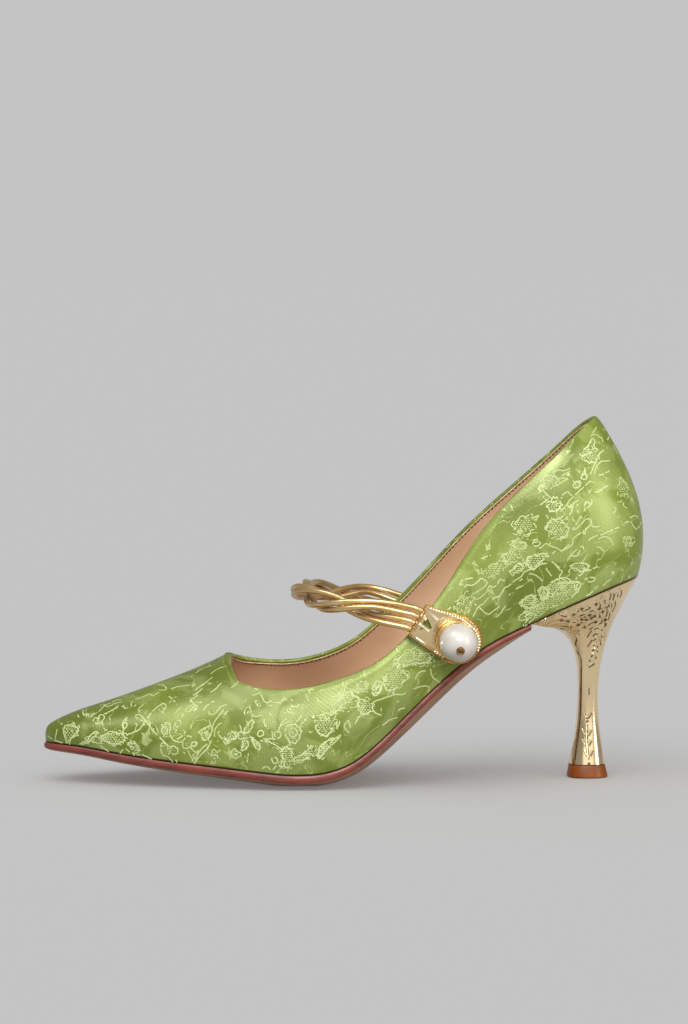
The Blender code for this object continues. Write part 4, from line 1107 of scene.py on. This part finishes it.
def heelSeat():
    breast = stationAtX(shoe["breastX"] + shoe["gap"])
    t = np.linspace(breast, loopT - breast, 2 * heel["sideSteps"] + 1)
    plan = inset(t, shoe["gap"])
    shares = np.linspace(0, 1, heel["frontSteps"] + 1)[1:-1, None]
    return np.concatenate([plan, plan[-1] + (plan[0] - plan[-1]) * shares])


seatOutline = heelSeat()
seatShape = np.column_stack([
    (seatOutline[:, 0] - seatOutline[0, 0]) / (seatOutline[:, 0].max() - seatOutline[0, 0]),
    seatOutline[:, 1] / np.abs(seatOutline[:, 1]).max()])


def heelShape(roundShare):
    # outline of a ring, from the seat's form to the rounded one of the stem
    turn = np.arctan2(seatShape[:, 1], 2 * seatShape[:, 0] - 1)
    circle = np.column_stack([np.cos(turn), np.sin(turn)])
    stem = np.sign(circle) * np.abs(circle) ** heel["stemPower"]
    stem[:, 0] = 0.5 + 0.5 * stem[:, 0]
    return seatShape + (stem - seatShape) * roundShare


def heelRing(shape, frontX, frontZ, backX, backZ, halfWidth):
    along, across = shape.T
    return np.column_stack([frontX + (backX - frontX) * along, halfWidth * across,
                            frontZ + (backZ - frontZ) * along])


def stackRings(rings):
    rings = np.array(rings)
    rows, around = rings.shape[0] - 1, rings.shape[1]

    def place(u, w):
        return rings[np.rint(w * rows).astype(int), np.rint(u * around).astype(int) % around]

    bm = bmesh.new()
    addGrid(bm, around, rows, place)
    bmesh.ops.remove_doubles(bm, verts=bm.verts, dist=weld)
    fillHoles(bm)
    return bm


def goldFinish(name, gold, deepGold, engraved=False):
    f = Finish(name, metallic=1.0)
    place = f.place()
    cloud = f.noise(place, 60.0).between(0.3, 0.7)
    colour = f.mix(cloud, gold, deepGold)
    height = f.noise(place, 700.0) * 0.3
    if engraved:
        x, _, z = f.axes(f.scaled(place, (1 / mm, 1 / mm, 1 / mm)))
        flow = f.noise(f.scaled(place, (1.0, 0.0, 1.0)), 75.0, 1.0, 0.5, 0.8)
        lines = (flow * 120.0).sine() * 0.5 + 0.5
        patches = f.noise(place, 55.0, 1.0).between(0.42, 0.56)
        zone = z.between(*heel["reliefZ"]) * (1 - x.between(*heel["reliefX"])) * patches
        # painted shade: the hollows of the flowing relief lines are darkened towards the groove colour
        colour = f.mix((1 - lines.between(0.0, 0.30)) * zone * 0.42, colour, heel["groove"])
        height = height + lines * zone
    return f.feed(baseColor=colour, roughness=0.17 + cloud * 0.06, normal=f.bump(height, 0.4, 0.00025))


goldLook = goldFinish("castGold", heel["gold"], heel["deepGold"])


def makeHeel():
    top = np.column_stack([seatOutline, seat(seatOutline[:, 0])])
    lastRow = len(heelRows) - 1
    heelForm = smoothRun(heelRows)
    rings = []
    for level in np.linspace(0, lastRow, heel["ringsPerRow"] * lastRow + 1):
        row = max(level, heel["seatRows"])
        ring = heelRing(heelShape(min(1.0, row / heel["roundRow"])), *heelForm(row))
        rings.append(ring + (top - ring) * max(0.0, 1 - level / heel["seatRows"]))
    soft = rings[0] + unit(rings[0].mean(axis=0) - rings[0]) * heel["softEdge"]
    rings[0] = rings[0] - (0.0, 0.0, heel["softEdge"])
    bm = stackRings([soft] + rings)
    bm.normal_update()
    tree = BVHTree.FromBMesh(bm)
    engravedGold = goldFinish("engravedGold", heel["gold"], heel["deepGold"], engraved=True)
    toObject("heelBody", bm, [engravedGold], heel["sharpFrom"], replaced=["heel"])
    shape = heelShape(1.0)
    rings = [heelRing(shape, frontX, z, backX, z, halfWidth) for frontX, backX, halfWidth, z in liftRows]
    bm = stackRings(rings)
    rims = [edge for edge in bm.edges if edge.calc_face_angle(0.0) > heel["liftCorner"]]
    bmesh.ops.bevel(bm, geom=rims, offset=heel["liftEdge"] * mm, affect="EDGES", segments=3, profile=0.5,
                    material=-1)
    amber = mottled("amberLift", heel["amber"], 120.0, (0.34, 0.08), specularIorLevel=0.3)
    toObject("heelLift", bm, [amber.material], heel["sharpFrom"], replaced=["top_piece"])
    return tree


heelTree = makeHeel()


def makeEngraving():
    width, shift, pit = engraving["width"], engraving["ridgeShift"], engraving["pit"]
    bm = bmesh.new()
    for chart in (engraving["crown"], engraving["stem"]):
        corner = np.array(chart["corner"])
        for groove in numberPairs(chart["grooves"]):
            curve = smoothPoints(groove, engraving["curveSteps"])
            line = evenly(corner + curve * chart["unit"], engraving["step"])
            spots = [seenOn(heelTree, px, py) for px, py in line]
            addBothSides(bm, heelTree, spots, width, engraving["grooveHeight"])
            spots = [seenOn(heelTree, px - shift, py - shift) for px, py in line]
            addBothSides(bm, heelTree, spots, width, engraving["ridge"], 1)
        for px, py in corner + numberPairs(chart["pits"])[0] * chart["unit"]:
            spots = [seenOn(heelTree, px + reach, py + reach / 2) for reach in (-pit, 0.0, pit)]
            addBothSides(bm, heelTree, spots, 2 * width, engraving["pitHeight"])
    # painted shade: groove and pit ribbons are dark brown, mottled with a paler brown
    shade = mottled("grooveShade", (heel["groove"], heel["paleGrooveShade"]), 600.0, (0.40, 0.1), metallic=0.8)
    toObject("heelEngraving", bm, [shade.material, goldLook])


makeEngraving()

# plates, as in the part: direction they face, x and z of the round end, slope in degrees, length, and height
# of the casting over the plate's wall side, in mm
plates = {
    "ornament_plate": dict(facing=(0.15, -0.985, -0.08), end=(163.6, 58.6), slope=-26.2, length=17.4,
                           crown=3.0),
    "strap_anchor": dict(facing=(0.07, 0.99, 0.08), end=(154.5, 60.8), slope=-30.0, length=8.0, crown=1.8)}


class PlateFrame:
    # a plate on the wall: a along it from its bar, b across it, h out from the wall, all in mm
    def __init__(self, node):
        plate = plates[node]
        self.out = unit(np.array(plate["facing"]))
        slope = math.radians(plate["slope"])
        run = np.array([math.cos(slope), 0.0, math.sin(slope)])
        self.along = unit(run - self.out * np.dot(run, self.out))
        self.across = np.cross(self.out, self.along)
        endX, endZ = plate["end"]
        self.origin = np.array([endX, 0.0, endZ]) - self.along * plate["length"]
        corners = np.array([v.co for v in bpy.data.objects[node].data.vertices]) / mm + shoe["centre"]
        height = (corners @ self.out).max() - plate["crown"]
        self.origin[1] += (height - np.dot(self.origin, self.out)) / self.out[1]

    def at(self, a, b, h):
        return self.origin + self.along * a + self.across * b + self.out * h

    def seen(self, px, py, h):
        # point of the plate, h above it, that shows at a pixel of the photo
        start = np.array(photo["eye"])
        way = np.array(sightLine(px, py))
        return start + way * (np.dot(self.at(0, 0, h) - start, self.out) / np.dot(way, self.out))


nearPlate, farPlate = PlateFrame("ornament_plate"), PlateFrame("strap_anchor")

# strap: cord size, place of the near plate's bar, twist of the two pairs of cords and route of the bundle, in
# mm and degrees
strap = dict(radius=1.2, stubs=(3.4, 2.2), bar=((-0.5, 7.1), (-2.0, -6.5)), pairRadius=2.8, cordOffset=1.4,
             start=90.0, turn=-540.0, rowShare=0.2, ramp=(0.04, 0.16), points=150, sides=16, sharpFrom=50.0,
             route=[(137, -31.4, 69.2), (124, -28.4, 71.2), (112.2, -20.4, 73), (104.6, -8, 74.8),
                    (103.4, 6, 75), (109.2, 19, 74.2), (121, 27.8, 72.2), (134, 31.2, 69.8)],
             tones=(rgb(0.78, 0.56, 0.26), rgb(0.52, 0.33, 0.13)))


def strapLines():
    lift, gap = strap["radius"], shoe["gap"]
    nearStub, farStub = strap["stubs"]
    route = [nearPlate.at(-nearStub, 0.0, lift)] + strap["route"] + [farPlate.at(-farStub, 0.0, lift)]
    dense = smoothRun(route)(np.linspace(0, len(route) - 1, 2000))
    length = runLengths(dense)
    denseShare = length / length[-1]
    speed = smoothShare(denseShare, *strap["ramp"]) * smoothShare(1 - denseShare, *strap["ramp"])
    turned = np.cumsum(speed * np.gradient(denseShare))
    share = np.linspace(0, 1, strap["points"])
    centre = np.stack([np.interp(share, denseShare, dense[:, i]) for i in range(3)], axis=-1)
    nearOpen = smoothShare(share, 0.0, strap["rowShare"])
    farOpen = smoothShare(1 - share, 0.0, strap["rowShare"])
    turnShare = np.interp(share, denseShare, turned / turned[-1])
    pairAngle = np.radians(strap["start"] + strap["turn"] * turnShare)
    cordAngle = pairAngle + quarterTurn * (nearOpen + 1 - farOpen)
    run = np.gradient(centre, axis=0)
    outward = unit(np.cross((0.0, 0.0, 1.0), run))
    over = unit(np.cross(run, outward))
    over = unit(over * np.minimum(nearOpen, farOpen)[:, None] + np.outer(1 - nearOpen, nearPlate.across)
                - np.outer(1 - farOpen, farPlate.across))
    (highA, highB), (lowA, lowB) = strap["bar"]
    lines = []
    for pair in (1, -1):
        for spot in (1, -1):
            aside = strap["pairRadius"] * np.cos(pairAngle) + spot * strap["cordOffset"] * np.cos(cordAngle)
            above = strap["pairRadius"] * np.sin(pairAngle) + spot * strap["cordOffset"] * np.sin(cordAngle)
            between = centre + pair * (aside[:, None] * outward + above[:, None] * over)
            row = pair * above[0]
            barA = lowA + (highA - lowA) * (row - lowB) / (highB - lowB)
            lines.append(np.concatenate([[nearPlate.at(barA - gap, row, lift)], between,
                                         [farPlate.at(-gap, -pair * above[-1], lift)]]))
    return lines


def makeStrap():
    cord = mottled("goldLeather", strap["tones"], 90.0, (0.28, 0.1), detail=3.0, metallic=0.85,
                   coatWeight=0.3, coatRoughness=0.2)
    look = cord.feed(normal=cord.bump(cord.cells(cord.place(), 1400.0), 0.15, 0.00015))
    for number, line in enumerate(strapLines(), start=1):
        bm = bmesh.new()
        addTube(bm, line, strap["radius"], strap["sides"])
        closeUp(bm)
        node = f"strap_strand_{number}"
        toObject(f"strapCord{number}", bm, [look], strap["sharpFrom"], replaced=[node])


makeStrap()

# pearl and its pin, in mm: centre above the plate's round end, flat foot above the plate floor; rings turned
# into the pin's cap as thickness and depth, and its bevel, in shares of its radius
pearl = dict(place=(16.3, -0.5), lift=7.8, radius=7.5, foot=1.7, sharpFrom=60.0, segments=(64, 40),
             pinTilt=15.0, pinGap=0.15, pinRadius=1.65, pinHeight=0.9, pinSegments=32, pinBevel=0.22,
             pinSharpFrom=40.0,
             pinRings=[(0.22, -0.12), (0.20, 0.10), (0.10, -0.22)],
             white=(rgb(0.53, 0.50, 0.455), rgb(0.46, 0.425, 0.375)),
             bronze=(rgb(0.30, 0.17, 0.065), rgb(0.20, 0.105, 0.04)),
             hole=(rgb(0.05, 0.025, 0.01), rgb(0.09, 0.045, 0.018)))


def turnTo(way):
    return Vector(way).to_track_quat("Z", "Y").to_matrix().to_4x4()


def makePearl(centre):
    foot = Vector(metres(nearPlate.at(*pearl["place"], pearl["foot"])))
    around, upDown = pearl["segments"]
    bm = bmesh.new()
    bmesh.ops.create_uvsphere(bm, u_segments=around, v_segments=upDown, radius=pearl["radius"] * mm,
                              matrix=Matrix.Translation(metres(centre)) @ turnTo(nearPlate.out))
    bmesh.ops.bisect_plane(bm, geom=bm.verts[:] + bm.edges[:] + bm.faces[:], plane_co=foot,
                           plane_no=Vector(nearPlate.out), clear_inner=True)
    fillHoles(bm)
    coat = mottled("pearlCoat", pearl["white"], 130.0, (0.30, 0.04), coatWeight=0.6, coatRoughness=0.32,
                   coatIor=1.6, sheenWeight=0.15, sheenRoughness=0.4)
    toObject("pearlBead", bm, [coat.material], pearl["sharpFrom"], replaced=["pearl"])


def makePin(centre):
    tilt = math.radians(pearl["pinTilt"])
    way = Vector(nearPlate.out * math.cos(tilt) - nearPlate.across * math.sin(tilt))
    base = centre + np.array(way) * (pearl["radius"] + pearl["pinGap"])
    size, height = pearl["pinRadius"] * mm, pearl["pinHeight"] * mm
    place = Matrix.Translation(metres(base) + np.array(way) * height / 2) @ turnTo(way)
    bm = bmesh.new()
    bmesh.ops.create_cone(bm, cap_ends=True, segments=pearl["pinSegments"], radius1=size, radius2=size,
                          depth=height, matrix=place)

    def topFace():
        return max(bm.faces, key=lambda face: face.calc_center_median().dot(way))

    bmesh.ops.bevel(bm, geom=list(topFace().edges), offset=size * pearl["pinBevel"], affect="EDGES",
                    segments=3, profile=0.5, material=-1)
    cap = topFace()
    for thickness, depth in pearl["pinRings"]:
        bmesh.ops.inset_region(bm, faces=[cap], thickness=size * thickness, depth=size * depth)
    # painted shade: the recessed middle of the cap is near-black, standing in for the shade inside a hole
    cap.material_index = 1
    bronze = mottled("pinBronze", pearl["bronze"], 700.0, (0.35, 0.1), metallic=0.9)
    hole = mottled("pinHoleShade", pearl["hole"], 900.0, (0.5, 0.0))
    looks = [bronze.material, hole.material]
    toObject("pearlPin", bm, looks, pearl["pinSharpFrom"], replaced=["pearl_pin"])


pearlCentre = nearPlate.at(*pearl["place"], pearl["lift"])
makePearl(pearlCentre)
makePin(pearlCentre)

# ornament details on the cast plate: sizes and heights above the plate's floor in mm, lines charted
# in photo pixels
ornament = dict(floor=1.4, ridge=0.34, ridgeLift=0.1, ridgeSides=8, curveSteps=8, bead=0.50, beadLift=0.3,
                beadPitch=1.15, facetFoot=-0.2, facetTop=0.75, facetEdge=0.22, facetRise=0.18, sharpFrom=30.0,
                cupRadius=7.45, cupTube=0.45, cupHeight=2.5, cupSteps=72, cupSides=12,
                amber=(rgb(0.80, 0.57, 0.25), rgb(0.60, 0.38, 0.13)), facetHighlight=rgb(0.95, 0.90, 0.80),
                gold=rgb(0.93, 0.72, 0.405), deepGold=rgb(0.83, 0.61, 0.315),
                ridges=[[(426.0, 612.2), (414.6, 631.6)], [(415.6, 637.6), (434.6, 650.2)],
                        [(434.0, 631.8), (435.8, 626.4), (439.6, 621.2), (444.2, 617.4)],
                        [(435.8, 632.8), (437.4, 628.2), (441.0, 623.2), (445.4, 619.4)]],
                beads=[[(431.0, 608.6), (439.0, 611.6), (446.0, 613.6), (452.4, 616.0), (458.8, 618.2),
                        (465.2, 621.8), (471.4, 627.0), (476.0, 632.2), (478.6, 638.4), (479.2, 644.8),
                        (478.0, 650.6)],
                       [(435.4, 651.6), (439.0, 653.8), (443.0, 656.4)]],
                facets=[[(426.6, 610.2), (436.0, 621.2), (439.2, 618.8), (431.0, 613.6)],
                        [(446.6, 621.6), (448.0, 618.8), (453.8, 620.0), (456.4, 621.6), (450.0, 622.6)],
                        [(418.8, 624.4), (420.6, 623.2), (429.0, 629.6), (427.4, 631.0)],
                        [(422.4, 617.0), (425.0, 614.6), (427.0, 618.2), (425.0, 620.4)]])


def onPlate(chart, lift):
    return [nearPlate.seen(px, py, ornament["floor"] + lift) for px, py in chart]


def addFacet(bm, corners):
    foot, top = ornament["facetFoot"], ornament["facetTop"]
    face = bm.faces.new([bm.verts.new(metres(corner)) for corner in onPlate(corners, foot)])
    up = Vector(nearPlate.out)
    if face.normal.dot(up) < 0:
        face.normal_flip()
    raised = bmesh.ops.extrude_face_region(bm, geom=[face])["geom"]
    tops = [part for part in raised if isinstance(part, bmesh.types.BMVert)]
    bmesh.ops.translate(bm, verts=tops, vec=up * ((top - foot) * mm))
    lid = next(part for part in raised if isinstance(part, bmesh.types.BMFace))
    bmesh.ops.inset_region(bm, faces=[lid], thickness=ornament["facetEdge"] * mm,
                           depth=ornament["facetRise"] * mm)


def makeOrnament():
    plateLook = goldFinish("plateGold", ornament["gold"], ornament["deepGold"])
    # painted highlight: facets and beads mix gold with a near-white tone that stands in for their glints
    highlightAndGoldTones = (ornament["facetHighlight"], ornament["gold"])
    highlightAndGoldLook = mottled("goldAndPaintedHighlight", highlightAndGoldTones, 400.0, (0.28, 0.08), metallic=0.7).material
    bm = bmesh.new()
    for chart in ornament["ridges"]:
        line = smoothPoints(onPlate(chart, ornament["ridgeLift"]), ornament["curveSteps"])
        addTube(bm, line, ornament["ridge"], ornament["ridgeSides"])
    closeUp(bm)
    toObject("ornamentRidges", bm, [plateLook], ornament["sharpFrom"])
    bm = bmesh.new()
    for corners in ornament["facets"]:
        addFacet(bm, corners)
    closeUp(bm)
    toObject("ornamentFacets", bm, [highlightAndGoldLook], ornament["sharpFrom"])
    bm = bmesh.new()
    for chart in ornament["beads"]:
        path = smoothRun(onPlate(chart, ornament["beadLift"]))(np.linspace(0, len(chart) - 1, 200))
        for spot in evenly(path, ornament["beadPitch"]):
            bmesh.ops.create_icosphere(bm, subdivisions=2, radius=ornament["bead"] * mm,
                                       matrix=Matrix.Translation(metres(spot)))
    toObject("ornamentBeads", bm, [highlightAndGoldLook])
    bm = bmesh.new()
    size, height, (along, across) = ornament["cupRadius"], ornament["cupHeight"], pearl["place"]
    turns = np.linspace(0, 2 * math.pi, ornament["cupSteps"], endpoint=False)
    rim = [nearPlate.at(along + size * math.cos(turn), across + size * math.sin(turn), height)
           for turn in turns]
    addTube(bm, rim, ornament["cupTube"], ornament["cupSides"], closed=True)
    closeUp(bm)
    amber = mottled("amberCup", ornament["amber"], 300.0, (0.22, 0.1), metallic=0.9)
    toObject("pearlCup", bm, [amber.material])
    for node in plates:
        for slot in bpy.data.objects[node].material_slots:
            slot.material = plateLook


makeOrnament()

# soft studio light: panels for the shoe as name, way, distance, size and power, and suns for the floor as
# name, power, width in degrees and shadow; metres, watts
studio = dict(floor=0.580, floorReach=30.0, room=0.26, backdrop=0.552, middle=(0, 0, 0.06),
              sunFrom=(-0.25, -0.35, 0.9),
              suns=[("shadowSun", 0.60, 60.0, True), ("domeSun", 0.85, 170.0, True),
                    ("fillSun", 0.94, 60.0, False)],
              panels=[("keyBox", (0.04, -0.76, 0.65), 1.4, (0.60, 0.55), 21.0),
                      ("topBox", (-0.45, -0.30, 0.84), 1.4, (0.60, 0.50), 6.0),
                      ("frontFill", (0.15, -0.97, 0.12), 1.7, (1.1, 0.7), 2.0),
                      ("rightStrip", (0.74, -0.60, 0.30), 1.3, (0.30, 0.8), 6.2)])


def makeFloor():
    bm = bmesh.new()
    bmesh.ops.create_grid(bm, x_segments=1, y_segments=1, size=studio["floorReach"])
    mesh = bpy.data.meshes.new("studioFloor")
    bm.to_mesh(mesh)
    bm.free()
    paper = Finish("floorPaper", baseColor=grey(studio["floor"]), roughness=0.9, specularIorLevel=0.0)
    mesh.materials.append(paper.material)
    floor = addToScene("studioFloor", mesh)
    return floor


def addLight(name, kind, way, power, lit):
    light = bpy.data.lights.new(name, kind)
    light.energy = power
    lamp = addToScene(name, light)
    lamp.rotation_euler = (-Vector(way)).to_track_quat("-Z", "Y").to_euler()
    lamp.light_linking.receiver_collection = lit
    return lamp, light


def makeLights(floor):
    shoeLit, floorLit = (bpy.data.collections.new(name) for name in ("shoeLit", "floorLit"))
    for thing in bpy.context.scene.objects:
        if thing.type == "MESH":
            (floorLit if thing is floor else shoeLit).objects.link(thing)
    for name, way, distance, size, power in studio["panels"]:
        lamp, light = addLight(name, "AREA", way, power, shoeLit)
        light.shape = "RECTANGLE"
        light.size, light.size_y = size
        lamp.location = Vector(studio["middle"]) + Vector(way).normalized() * distance
    for name, power, angle, shadow in studio["suns"]:
        _, light = addLight(name, "SUN", studio["sunFrom"], power, floorLit)
        light.angle = math.radians(angle)
        light.use_shadow = shadow


def makeRoom():
    # even grey light for the shoe, and a paler backdrop for the camera
    world = bpy.data.worlds.new("greyRoom")
    world.use_nodes = True
    bpy.context.scene.world = world
    nodes, links = world.node_tree.nodes, world.node_tree.links
    room, backdrop = nodes["Background"], nodes.new("ShaderNodeBackground")
    room.inputs["Color"].default_value = grey(studio["room"])
    backdrop.inputs["Color"].default_value = grey(studio["backdrop"])
    sight, both = nodes.new("ShaderNodeLightPath"), nodes.new("ShaderNodeMixShader")
    links.new(sight.outputs["Is Camera Ray"], both.inputs[0])
    links.new(room.outputs[0], both.inputs[1])
    links.new(backdrop.outputs[0], both.inputs[2])
    links.new(both.outputs[0], nodes["World Output"].inputs[0])
    bpy.context.scene.view_settings.view_transform = "Standard"


makeLights(makeFloor())
makeRoom()
print("stage set")
